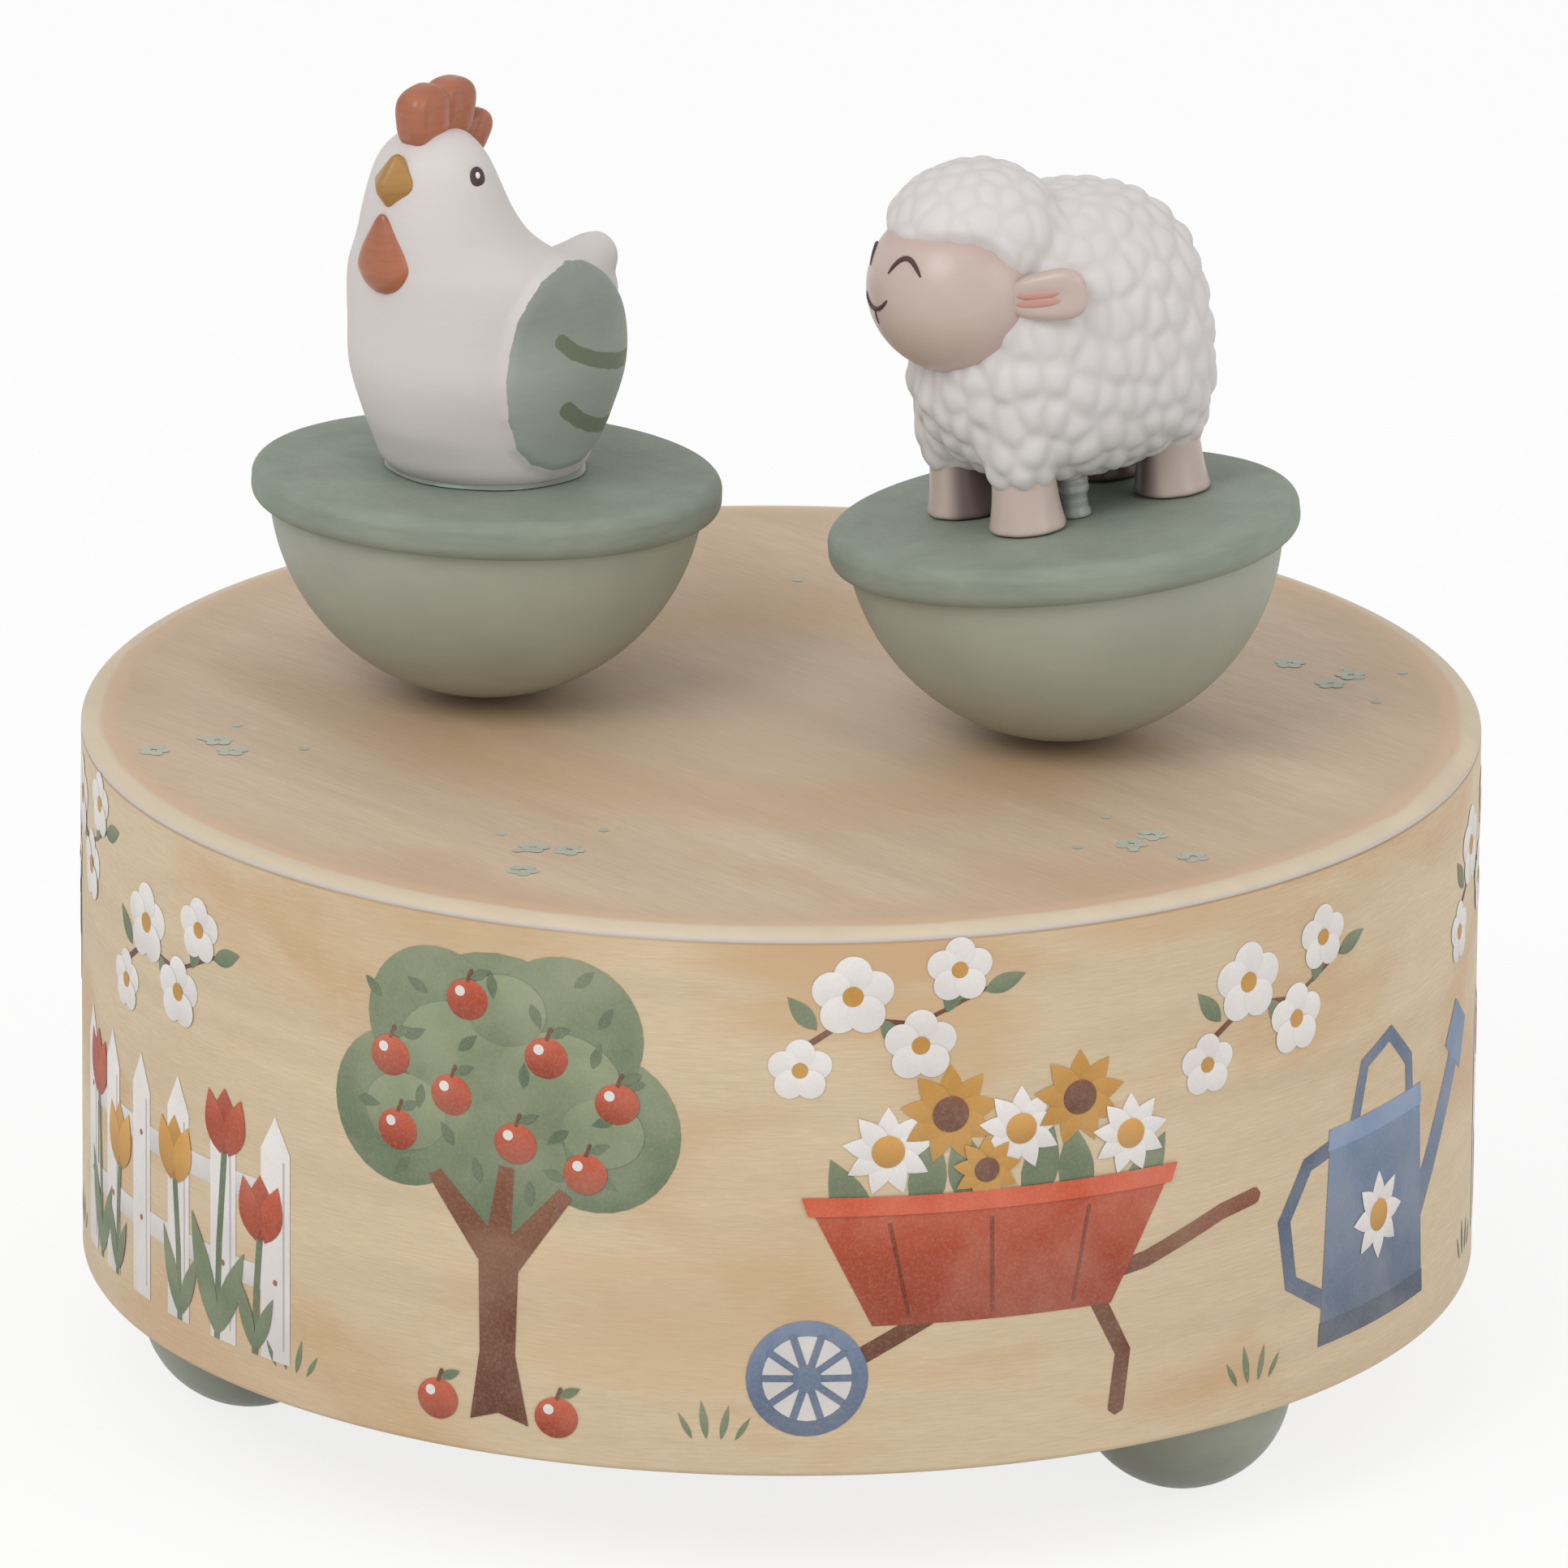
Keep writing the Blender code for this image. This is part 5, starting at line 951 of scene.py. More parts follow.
class MUSICBOX_OT_side_print(bpy.types.Operator):
    """A garden printed round the side: fence, apple tree, wheelbarrow, watering can and blossom"""
    bl_idname = "musicbox.side_print"
    bl_label = "Side print"

    def execute(self, context):
        inks = context.scene.music_print
        look = ink_material()
        scenes = (
            ("fence", draw_fence, (-61.0, 102.0), 3.4, 1.3),
            ("apple_tree", draw_apple_tree, (-23.0, 139.0, -101.0), 2.8, 1.13),
            ("barrow", draw_barrow, (18.0, 179.0), 3.4, 1.38), ("can", draw_can, (58.0, -140.0), 4.0, 1.45),
        )

        def printed(name, draw, number, around, base, scale=1.0):
            ink = Ink()
            draw(ink, inks)
            ink.finish(f"print_{name}_{number + 1}", look, around, base, scale)

        for name, draw, places, base, scale in scenes:
            for number, around in enumerate(places):
                printed(name, draw, number, around, base, scale)
        sprays = ((-60.0, 31.5), (9.0, 36.0), (44.0, 33.0), (82.0, 34.0), (108.0, 31.5), (168.0, 35.0),
                  (-150.0, 35.0), (-124.0, 33.0), (-80.0, 36.0))
        for number, (around, base) in enumerate(sprays):
            printed("blossom", draw_blossom, number, around, base, 1.25)
        tufts = (-43.0, -5.0, 42.0, 79.0, 120.0, 155.0, -157.0, -119.0, -84.0)
        for number, around in enumerate(tufts):
            printed("grass", draw_grass, number, around, 3.0)
        return {"FINISHED"}


TOP_PRINT_REACH = 51.0   # millimetres from the middle to the last daisy


class MUSICBOX_OT_top_print(bpy.types.Operator):
    """Small pale daisies and dots in groups on the top"""
    bl_idname = "musicbox.top_print"
    bl_label = "Top print"

    def execute(self, context):
        inks = context.scene.music_print
        ink = Ink()
        groups = ((-44.0, -9.0, 20), (-19.0, -35.0, 75), (27.0, -33.0, 140), (8.0, 32.0, 200),
                  (-31.0, 29.0, 260), (45.0, 10.0, 320))
        for x, y, turn in groups:
            for index in range(6):
                away = 1.4 * index
                side = math.radians(turn + 137 * index)
                px, py = x + away * math.cos(side), y + away * math.sin(side)
                if math.hypot(px, py) > TOP_PRINT_REACH:
                    continue
                if index % 2:
                    ink.dot(px, py, 0.42, inks.mint, sides=14)
                    continue
                for petal in range(5):
                    lean = math.radians(72 * petal + turn + 31 * index)
                    across, up = 0.75 * math.cos(lean), 0.75 * math.sin(lean)
                    ink.dot(px + across, py + up, 0.52, inks.mint, sides=14)
        ink.finish("print_daisies", ink_material())
        return {"FINISHED"}


# Tumblers

class MUSICBOX_OT_tumblers(bpy.types.Operator):
    """Painted bowls and lids that the figures stand on"""
    bl_idname = "musicbox.tumblers"
    bl_label = "Tumblers"

    def execute(self, context):
        settings = context.scene.music_tumbler
        bowl_look = paint_material("sage_bowl", settings.bowl, rough=0.5, drag=0.5, tone=0.03)
        lid_look = paint_material("sage_lid", settings.lid, rough=0.56, drag=1.2, tone=0.05)
        radius = settings.bowl_radius
        wall = 2.6 * MM
        rim = -settings.lid_below - settings.seat_gap
        hollow = radius - wall
        spigot_depth = 1.2 * MM
        spigot = math.sqrt(hollow ** 2 - (settings.lid_below + spigot_depth) ** 2) - 0.3 * MM
        edge = 1.15 * MM
        for name in ("hen", "sheep"):
            matrix = tumbler_matrix(name)
            end = math.degrees(math.asin(rim / radius))
            inside = math.degrees(math.asin(rim / hollow))
            bowl = lathe([
                (0.0, -radius), *arc((0.0, 0.0), radius, -87, end, 46),
                *arc((0.0, 0.0), hollow, inside, -85, 16), (0.0, -hollow),
            ], 128)
            piece(f"{name}_painted_bowl", placed(bowl, matrix), bowl_look, f"{name}_base",
                  [f"{name}_bowl"])
            low = -settings.lid_below
            high = settings.lid_above
            outer = settings.lid_radius
            lid = lathe([
                (0.0, low - spigot_depth), (spigot, low - spigot_depth), (spigot, low),
                *arc((outer - edge, low + edge), edge, -90, 0, 8),
                *arc((outer - edge * 1.1, high - edge * 1.1), edge * 1.1, 8, 82, 8),
                (outer - 3.0 * MM, high), (0.0, high),
            ], 160)
            piece(f"{name}_painted_lid", placed(lid, matrix), lid_look, f"{name}_top",
                  [f"{name}_lid"])
        return {"FINISHED"}


# Hen

# Height, place forward, half length and half width, in millimetres
HEN_RINGS = (
    (0.0, 0.3, 7.6, 7.2), (0.9, 0.4, 8.6, 7.9), (2.6, 0.6, 9.4, 8.3), (4.6, 0.75, 10.4, 8.8),
    (8.6, 1.0, 11.6, 9.85), (12.4, 1.4, 11.5, 9.95), (15.0, 2.4, 10.7, 9.7), (17.0, 4.2, 9.1, 8.8),
    (18.4, 5.55, 7.8, 7.75), (19.9, 6.65, 6.8, 6.75), (21.9, 7.5, 5.95, 5.95), (24.2, 8.0, 5.1, 5.2),
    (26.2, 8.25, 4.3, 4.35), (27.6, 8.25, 3.2, 3.2), (28.5, 8.2, 1.75, 1.75), (28.8, 8.2, 0.0, 0.0),
)
HEN_HEIGHT = HEN_RINGS[-1][0]

# Root, its radius, tip and its radius
HEN_TAIL = ((-3.4, 0.0, 9.7), 5.9, (-12.1, 0.0, 14.75), 2.15)
HEN_UNDER_TAIL = ((-3.4, 0.0, 8.6), 6.1, (-11.4, 0.0, 12.3), 2.7)

# Place forward, height, half sizes and lean in degrees
COMB_LOBES = (
    (9.9, 29.6, (2.3, 1.5, 2.35), 6), (6.7, 29.8, (2.3, 1.5, 2.35), -6), (3.8, 27.5, (1.5, 1.2, 1.8), -30),
)
BEAK_PLACE = (12.55, -0.35, 24.65)
WATTLE_PLACE = (12.9, -0.7, 18.6)
EYE_PLACE = (8.6, 4.68, 25.35)
EYE_FACING = (0.08, 0.96, 0.26)
HEN_SOLE = 0.03          # share of the ball's rings that close the flat underside


def ring_at(height):
    """Place forward, half length and half width of the hen's body at a height, on a smooth curve."""
    table = HEN_RINGS
    index = 0
    while index < len(table) - 2 and table[index + 1][0] < height:
        index += 1
    before = table[max(index - 1, 0)]
    low, high = table[index], table[index + 1]
    after = table[min(index + 2, len(table) - 1)]
    gap = high[0] - low[0]
    t = min(1.0, max(0.0, (height - low[0]) / gap))
    result = []
    for column in (1, 2, 3):
        slope_low = (high[column] - before[column]) / (high[0] - before[0]) * gap
        slope_high = (after[column] - low[column]) / (after[0] - low[0]) * gap
        if index == len(table) - 2:
            slope_high = (high[column] - low[column]) * 2.2
        value = ((2 * t**3 - 3 * t**2 + 1) * low[column] + (t**3 - 2 * t**2 + t) * slope_low
                 + (-2 * t**3 + 3 * t**2) * high[column] + (t**3 - t**2) * slope_high)
        result.append(value)
    return result


def hen_trunk():
    """Body, neck and head: a ball whose rings are moved out to the hen's outline."""
    bm = globe((1.0, 1.0, 1.0), columns=96, rows=96)
    for vert in bm.verts:
        part = math.asin(max(-1.0, min(1.0, vert.co.z))) / math.pi + 0.5
        lower = min(1.0, part / HEN_SOLE)
        height = HEN_HEIGHT * max(0.0, part - HEN_SOLE) / 0.97
        forward, long, wide = ring_at(height)
        flat = math.hypot(vert.co.x, vert.co.y)
        side = (vert.co.x / flat, vert.co.y / flat) if flat > 1e-6 else (0.0, 0.0)
        vert.co = Vector((forward + long * side[0] * lower, wide * side[1] * lower, height))
    return bm


def cone_between(root, root_radius, tip, tip_radius, columns=32):
    """A round-ended taper."""
    root, tip = Vector(root), Vector(tip)
    along = tip - root
    profile = [(0.0, -root_radius), *arc((0.0, 0.0), root_radius, -80, 0, 8),
               *arc((0.0, along.length), tip_radius, 0, 80, 8), (0.0, along.length + tip_radius)]
    bm = lathe(profile, columns)
    turn = Vector((0.0, 0.0, 1.0)).rotation_difference(along).to_matrix().to_4x4()
    return placed(bm, Matrix.Translation(root) @ turn)


def paint_mask(bm, name, distances):
    """A mask attribute: a half on a shape's edge, more inside, one unit of it being a millimetre."""
    layer = bm.verts.layers.float.new(name)
    for vert, distance in zip(bm.verts, distances):
        vert[layer] = min(1.0, max(0.0, 0.5 - distance))


# The wing's outline: turn round the hen's middle from the way it faces, in degrees, and height
WING = ((72, 17.5), (63, 17.1), (57, 16.2), (51, 14.4), (48.5, 12.1), (47.7, 9.3), (50, 6.4), (56, 3.8),
        (66, 2.3), (82, 1.5), (104, 1.6), (125, 2.8), (141, 5.6), (149, 9.5), (151, 12.8), (147, 15.2),
        (132, 16.6), (110, 17.2), (90, 17.7))
WING_GIRTH = 0.19        # millimetres of skin for one degree of turn
RIGHT_WING_BACK = 14.0   # degrees that the right wing sits further back


def wing_distance(place):
    """Distance, in millimetres, outside the wing's outline on the unrolled body."""
    turn = math.degrees(math.atan2(abs(place.y), place.x - 1.0)) - (RIGHT_WING_BACK if place.y < 0 else 0.0)
    spot = Vector((turn * WING_GIRTH, place.z))
    points = [Vector((turn * WING_GIRTH, height)) for turn, height in WING]
    nearest = 1000.0
    inside = False
    for start, end in zip(points, points[1:] + points[:1]):
        along = end - start
        t = min(1.0, max(0.0, (spot - start).dot(along) / along.length_squared))
        nearest = min(nearest, (spot - start - along * t).length)
        if (start.y > spot.y) != (end.y > spot.y):
            if spot.x < start.x + along.x * (spot.y - start.y) / along.y:
                inside = not inside
    return -nearest if inside else nearest


def stroke_distance(place, points, width):
    """Distance outside a stroke drawn through points of the X-Z plane, on both sides of the hen."""
    spot = Vector((place.x, place.z))
    nearest = 1000.0 if abs(place.y) < 3.0 else 20.0
    for start, end in zip(points, points[1:]):
        start, end = Vector(start), Vector(end)
        along = end - start
        t = min(1.0, max(0.0, (spot - start).dot(along) / along.length_squared))
        nearest = min(nearest, (spot - start - along * t).length)
    return nearest - width / 2


WING_STRIPES = (
    ((4.2, 12.5), (2.9, 11.5), (0.7, 10.6), (-1.6, 10.0), (-3.6, 9.6), (-5.4, 9.5)),
    ((2.9, 7.0), (1.1, 5.8), (-0.8, 5.0), (-3.0, 4.4), (-4.8, 4.3)),
)


def hen_body_material(hen):
    def build(tree, shader):
        vector = object_vector(tree)
        paint = use(tree, paint_group(), Vector=vector, Drag=0.8)

        def edge(name, waver):
            mask = attribute(tree, name)
            return use(tree, edge_group(), Mask=mask, Vector=vector, Waver=waver)["Edge"]

        def tones(tint, spread):
            dark, light = linear(toned(tint, 1 - spread)), linear(toned(tint, 1 + spread))
            return mixed(tree, paint["Tone"], dark, light)

        height = add(tree, "ShaderNodeSeparateXYZ", {0: vector}).outputs["Z"]
        # Painted shade: the wing's colour is darkened over its upper part.
        upper = ramp(tree, height, 82.5, 88.0, 0.0, 1.0, smooth=True)
        wing_with_painted_shade = mixed(tree, upper, tones(hen.wing, 0.04), tones(toned(hen.wing, 0.88), 0.04))
        tint = mixed(tree, edge("wing", 0.3), tones(hen.white, 0.012), wing_with_painted_shade)
        tint = mixed(tree, edge("stripe", 0.2), tint, tones(hen.stripe, 0.03))
        feed(tree, shader, Base_Color=tint, Specular_IOR_Level=0.35,
             Roughness=ramp(tree, paint["Gloss"], 0.0, 1.0, 0.50, 0.62),
             Normal=bump(tree, paint["Height"], 0.02))
    return material("hen_resin", build)


class MUSICBOX_OT_hen(bpy.types.Operator):
    """The hen: body with wings and tail, comb, beak, wattle and eyes"""
    bl_idname = "musicbox.hen"
    bl_label = "Hen"

    def execute(self, context):
        hen = context.scene.music_hen
        matrix = figure_matrix("hen", hen.heading) @ Matrix.Scale(MM, 4)
        tails = [cone_between(*HEN_TAIL), cone_between(*HEN_UNDER_TAIL)]
        skin = skinned([hen_trunk(), *tails], hen.voxel / MM, 4)
        valley = [vert for vert in skin.verts if (vert.co - Vector((-5.5, 0, 16.5))).length < 7.5
                  and vert.co.z > 12.0]
        smoothed(skin, valley, 20)
        rise = hen.wing_rise / MM
        skin.normal_update()
        away = [wing_distance(vert.co) for vert in skin.verts]
        paint_mask(skin, "wing", away)
        paint_mask(skin, "stripe", [
            min(stroke_distance(vert.co, points, 1.25) for points in WING_STRIPES) for vert in skin.verts])
        normals = [vert.normal.copy() for vert in skin.verts]
        for vert, normal, distance in zip(skin.verts, normals, away):
            swell = smoothstep(0.9, -0.7, distance) + 0.2 * smoothstep(-0.6, -4.5, distance)
            vert.co += normal * rise * swell
        piece("hen_body", placed(skin, matrix), hen_body_material(hen), "hen_top",
              ["hen_figure"])

        comb_look = paint_material("comb_paint", hen.comb, rough=0.3, drag=1.4, tone=0.08, specular=0.5)
        beak_look = paint_material("beak_paint", hen.beak, rough=0.38, drag=1.2, tone=0.06, specular=0.4)
        lobes = []
        for forward, up, half, lean in COMB_LOBES:
            lobe = globe(half, square=0.58)
            for vert in lobe.verts:
                along = (vert.co.x + 0.25 * vert.co.z) / half[0]
                vert.co.y *= 1.04 - 0.10 * math.exp(-((along - 0.15) / 0.45) ** 2)
                vert.co.z += 0.22 * math.cos(vert.co.x / half[0] * 2.4 + 0.4) * (1 if vert.co.z > 0 else 0)
                vert.co.x *= 0.86 + 0.14 * smoothstep(-half[2], half[2], vert.co.z)
            bmesh.ops.rotate(lobe, verts=lobe.verts, matrix=Matrix.Rotation(math.radians(lean), 3, "Y"))
            bmesh.ops.translate(lobe, verts=lobe.verts, vec=(forward, 0, up))
            lobes.append(lobe)
        comb = skinned(lobes, 0.15, 2)
        piece("hen_comb", placed(comb, matrix), comb_look, "hen_top")

        beak = bmesh.new()
        bmesh.ops.create_uvsphere(beak, u_segments=4, v_segments=2, radius=1.0)
        bmesh.ops.scale(beak, vec=(2.4, 2.4, 3.4), verts=beak.verts)
        for vert in beak.verts:
            if vert.co.z > 2.0:
                vert.co += Vector((0.0, 0.5, -0.2))
        bmesh.ops.bevel(beak, geom=beak.edges[:], offset=0.5, segments=3, profile=0.5, affect="EDGES",
                        material=-1)
        turn = Matrix.Rotation(math.radians(-4), 3, "Z") @ Matrix.Rotation(math.radians(7), 3, "Y")
        bmesh.ops.rotate(beak, verts=beak.verts, matrix=turn)
        bmesh.ops.translate(beak, verts=beak.verts, vec=BEAK_PLACE)
        piece("hen_beak", placed(beak, matrix), beak_look, "hen_top", sharp=50)

        wattle = globe((1.0, 1.0, 1.0), columns=40, rows=32)
        for vert in wattle.verts:
            neck = 1.0 - 0.55 * smoothstep(-0.3, 1.1, vert.co.z)
            upper = vert.co.z * (3.7 if vert.co.z > 0 else 2.8)
            forward = vert.co.x * 1.55 * neck + 0.18 * max(upper, 0.0)
            vert.co = Vector((forward, vert.co.y * 2.6 * neck, upper))
        bmesh.ops.translate(wattle, verts=wattle.verts, vec=WATTLE_PLACE)
        piece("hen_wattle", placed(wattle, matrix), comb_look, "hen_top")

        bead = lathe([(0.0, 0.0), (1.07, 0.0), (1.055, 0.25), (1.01, 0.5), (0.94, 0.62), (0.0, 0.62)], 96)
        for vert in bead.verts:
            around = math.atan2(vert.co.y, vert.co.x)
            wave = 1.0 + 0.012 * math.sin(3 * around) + 0.008 * math.sin(7 * around + 1.0)
            vert.co = Vector((vert.co.x * 7.65 * wave + 0.3, vert.co.y * 7.3 * wave, vert.co.z * wave))
        film = toned(context.scene.music_tumbler.lid, 0.96)
        bead_look = paint_material("glue_film", film, rough=0.2, drag=0.3)
        piece("hen_glue", placed(bead, matrix), bead_look, "hen_top")

        eye_look = paint_material("eye_paint", hen.eye, rough=0.3, drag=0.2, tone=0.06)
        glint_look = paint_material("eye_glint", (0.93, 0.92, 0.92), rough=0.35, drag=0.1, tone=0.02)
        for side, label in ((1, "left"), (-1, "right")):
            for part, half, look, lift in (("eye", (0.15, 0.8, 0.9), eye_look, 0.0),
                                           ("glint", (0.10, 0.26, 0.28), glint_look, 0.1)):
                place = sided(EYE_PLACE, side)
                facing = sided(EYE_FACING, side).normalized()
                turn = facing.to_track_quat("X", "Z").to_matrix()
                aside, up = (-0.06 * side, 0.2) if part == "glint" else (0.0, 0.0)
                shift = turn @ Vector((lift, aside, up))
                blob = globe(half, place + shift, turn, columns=28, rows=16)
                piece(f"hen_{part}_{label}", placed(blob, matrix), look, "hen_top")
        return {"FINISHED"}


# Sheep

SHEEP_BODY = ((-2.1, 0.0, 14.0), (11.35, 9.6, 11.1))
SHEEP_FACE = ((6.8, 0.0, 19.2), (7.3, 7.4, 6.9))
SHEEP_CAP = ((5.1, 0.0, 22.5), (7.1, 7.2, 6.2))
EAR_PLACE = (-3.9, 8.05, 0.05)       # from the head's middle
EAR_SPLAY = 33                       # degrees from the head's side
LEGS = ((5.4, 4.2), (5.4, -4.2), (-8.5, 4.2), (-8.5, -4.2))


def head_axes(sheep):
    """Turn of the head about its middle."""
    return Matrix.Rotation(sheep.head_turn, 3, "Z")


def face_distance(place, sheep):
    """Distance outside the bare part of the head, and from the head's middle, in the head's half sizes."""
    centre, half = Vector(SHEEP_FACE[0]), SHEEP_FACE[1]
    spot = head_axes(sheep).inverted() @ (place - centre)
    spot = Vector([part / size for part, size in zip(spot, half)])
    away = spot.length
    spot.normalize()
    if spot.x > 0.37:
        above = spot.z - 0.70
    else:
        above = math.hypot(spot.x - 0.37, max(spot.z - 0.03, 0.0)) - 0.67
    below = -0.14 - spot.x - 0.85 * (spot.z + 0.32)
    return max(above, below), away


BLOCK = 4000             # points of the fleece that are measured at a time
CURL_STRAY = 0.35        # millimetres that uneven wool moves a curl's edge


def scattered(points, spacing, seed):
    """Pick points at least a spacing apart, in a random order that a seed fixes."""
    order = np.random.default_rng(seed).permutation(len(points))
    chosen = np.empty((0, 3))
    for index in order:
        if len(chosen) == 0 or np.min(np.sum((chosen - points[index]) ** 2, axis=1)) > spacing ** 2:
            chosen = np.vstack([chosen, points[index]])
    return chosen


def curled(bm, sheep):
    """Raise rounded curls of wool all over a smooth fleece, with a mask of the hollows between them."""
    bm.normal_update()
    points = np.array([vert.co for vert in bm.verts])
    normals = np.array([vert.normal for vert in bm.verts])
    squeeze = np.array((1.0, 1.0, 0.66))
    size = sheep.curl / MM
    mathutils_noise.seed_set(sheep.seed)
    stray = np.array([mathutils_noise.noise_vector(vert.co * 0.45) for vert in bm.verts])
    points = points + CURL_STRAY * stray
    seeds = scattered(points * squeeze, size * 0.80, sheep.seed)
    rise = np.empty(len(points))
    hollow = np.empty(len(points))
    vigour = np.random.default_rng(sheep.seed + 1).uniform(0.6, 1.15, len(seeds))
    for low in range(0, len(points), BLOCK):
        block = points[low:low + BLOCK] * squeeze
        away = np.sqrt(((block[:, None, :] - seeds[None, :, :]) ** 2).sum(axis=2))
        order = np.argsort(away, axis=1)[:, :2]
        rows = np.arange(len(block))
        first, second = away[rows, order[:, 0]], away[rows, order[:, 1]]
        ridge = np.clip((second - first) / (size * 0.7), 0.0, 1.0)
        ridge = ridge * ridge * (3.0 - 2.0 * ridge)
        crown = np.clip(1.0 - (first / (size * 0.9)) ** 2, 0.0, 1.0)
        below = (seeds[order[:, 0], 2] - block[:, 2]) / size
        lump = (ridge * 0.5 + crown * 0.5) * vigour[order[:, 0]] + 0.3 * below * ridge
        rise[low:low + BLOCK] = lump
        hollow[low:low + BLOCK] = 1.0 - ridge
    layer = bm.verts.layers.float.new("hollow")
    height = sheep.curl_rise / MM
    for vert, normal, up, deep in zip(bm.verts, normals, rise, hollow):
        outside, away = face_distance(vert.co, sheep)
        sunk = smoothstep(0.05, -0.03, outside) * smoothstep(1.42, 1.24, away)
        vert[layer] = float(deep)
        fine = 1.0 - 0.4 * smoothstep(20.0, 23.0, vert.co.z + 0.35 * vert.co.x)
        vert.co += Vector(normal) * (height * fine * float(up))
        if sunk > 0.0:
            vert.co = vert.co.lerp(Vector(SHEEP_FACE[0]), sunk * max(0.0, 1.0 - 0.9 / away))


def fleece(sheep):
    trunk = globe((1.0, 1.0, 1.0), columns=64, rows=48)
    for vert in trunk.verts:
        low = smoothstep(0.3, -0.6, vert.co.z)
        fill = 0.80 - 0.16 * low
        whole = [math.copysign(abs(part) ** fill, part) * half for part, half in zip(vert.co, SHEEP_BODY[1])]
        whole[0] *= 1.0 - 0.10 * low if whole[0] > 0 else 1.0
        vert.co = Vector(whole) + Vector(SHEEP_BODY[0])
    parts = [trunk, globe(SHEEP_CAP[1], SHEEP_CAP[0]), globe((6.8, 7.3, 6.5), (0.9, 0.0, 18.5)),
             globe((6.4, 7.0, 7.9), (3.9, 0.0, 11.7))]
    for forward, aside in LEGS:
        parts.append(cone_between((forward, aside, 6.2), 3.1, (forward * 0.85, aside * 0.95, 12.0), 4.2))
    skin = skinned(parts, sheep.voxel / MM, 12)
    curled(skin, sheep)
    smoothed(skin, skin.verts, 3, 0.4)
    return skin


def fleece_material(sheep):
    def build(tree, shader):
        vector = object_vector(tree)
        paint = use(tree, paint_group(), Vector=vector, Drag=0.5)
        deep = attribute(tree, "hollow")
        tint = mixed(tree, paint["Tone"], linear(toned(sheep.wool, 0.985)), linear(toned(sheep.wool, 1.02)))
        # Painted shade: the hollows between the curls are tinted grey.
        wash_and_painted_shade = ramp(tree, deep, 0.45, 1.0, 0.0, 0.5, smooth=True)
        tint = mixed(tree, wash_and_painted_shade, tint, linear((0.80, 0.775, 0.765)))
        feed(tree, shader, Base_Color=tint, Specular_IOR_Level=0.35,
             Roughness=ramp(tree, paint["Gloss"], 0.0, 1.0, 0.48, 0.60),
             Normal=bump(tree, paint["Height"], 0.02))
    return material("fleece_paint", build)


def skin_material(sheep):
    def build(tree, shader):
        paint = use(tree, paint_group(), Vector=object_vector(tree), Drag=0.4)
        fringe = attribute(tree, "fringe")
        shade = attribute(tree, "shade")
        tint = mixed(tree, paint["Tone"], linear(toned(sheep.skin, 0.97)), linear(toned(sheep.skin, 1.03)))
        tint = mixed(tree, maths(tree, "MULTIPLY", fringe, 0.3), tint, linear((0.74, 0.60, 0.585)))
        tint = mixed(tree, maths(tree, "MULTIPLY", shade, 0.8), tint, linear(toned(sheep.line, 0.8)))
        feed(tree, shader, Base_Color=tint, Specular_IOR_Level=0.5,
             Roughness=ramp(tree, paint["Gloss"], 0.0, 1.0, 0.29, 0.37),
             Normal=bump(tree, paint["Height"], 0.012))
    return material("skin_paint", build)


def tube(points, radius, sides=10, ends=0.35):
    """A thin painted line as a rounded cord along points, narrowed at both ends."""
    bm = bmesh.new()
    count = len(points)
    for index, point in enumerate(points):
        before = Vector(points[max(index - 1, 0)])
        after = Vector(points[min(index + 1, count - 1)])
        part = index / (count - 1)
        thick = radius * (ends + (1 - ends) * math.sqrt(max(0.0, math.sin(math.pi * part))))
        turn = (after - before).to_track_quat("Z", "Y").to_matrix().to_4x4()
        ring = bmesh.ops.create_circle(bm, cap_ends=index in (0, count - 1), segments=sides, radius=thick,
                                       matrix=Matrix.Translation(point) @ turn)["verts"]
        if index:
            bmesh.ops.bridge_loops(bm, edges=loop_edges(last) + loop_edges(ring))
        last = ring
    bmesh.ops.recalc_face_normals(bm, faces=bm.faces)
    return bm


def loop_edges(verts):
    kept = set(verts)
    return list({edge for vert in verts for edge in vert.link_edges if set(edge.verts) <= kept})


def on_face(sheep, turn, rise, out=0.0):
    """A place on the head's ball, from its own turn and height angles in degrees."""
    centre, half = Vector(SHEEP_FACE[0]), SHEEP_FACE[1]
    side, up = math.radians(turn), math.radians(rise)
    spot = Vector((half[0] * math.cos(up) * math.cos(side), half[1] * math.cos(up) * math.sin(side),
                   half[2] * math.sin(up)))
    outward = Vector((spot.x / half[0] ** 2, spot.y / half[1] ** 2, spot.z / half[2] ** 2)).normalized()
    return centre + head_axes(sheep) @ (spot + outward * out)


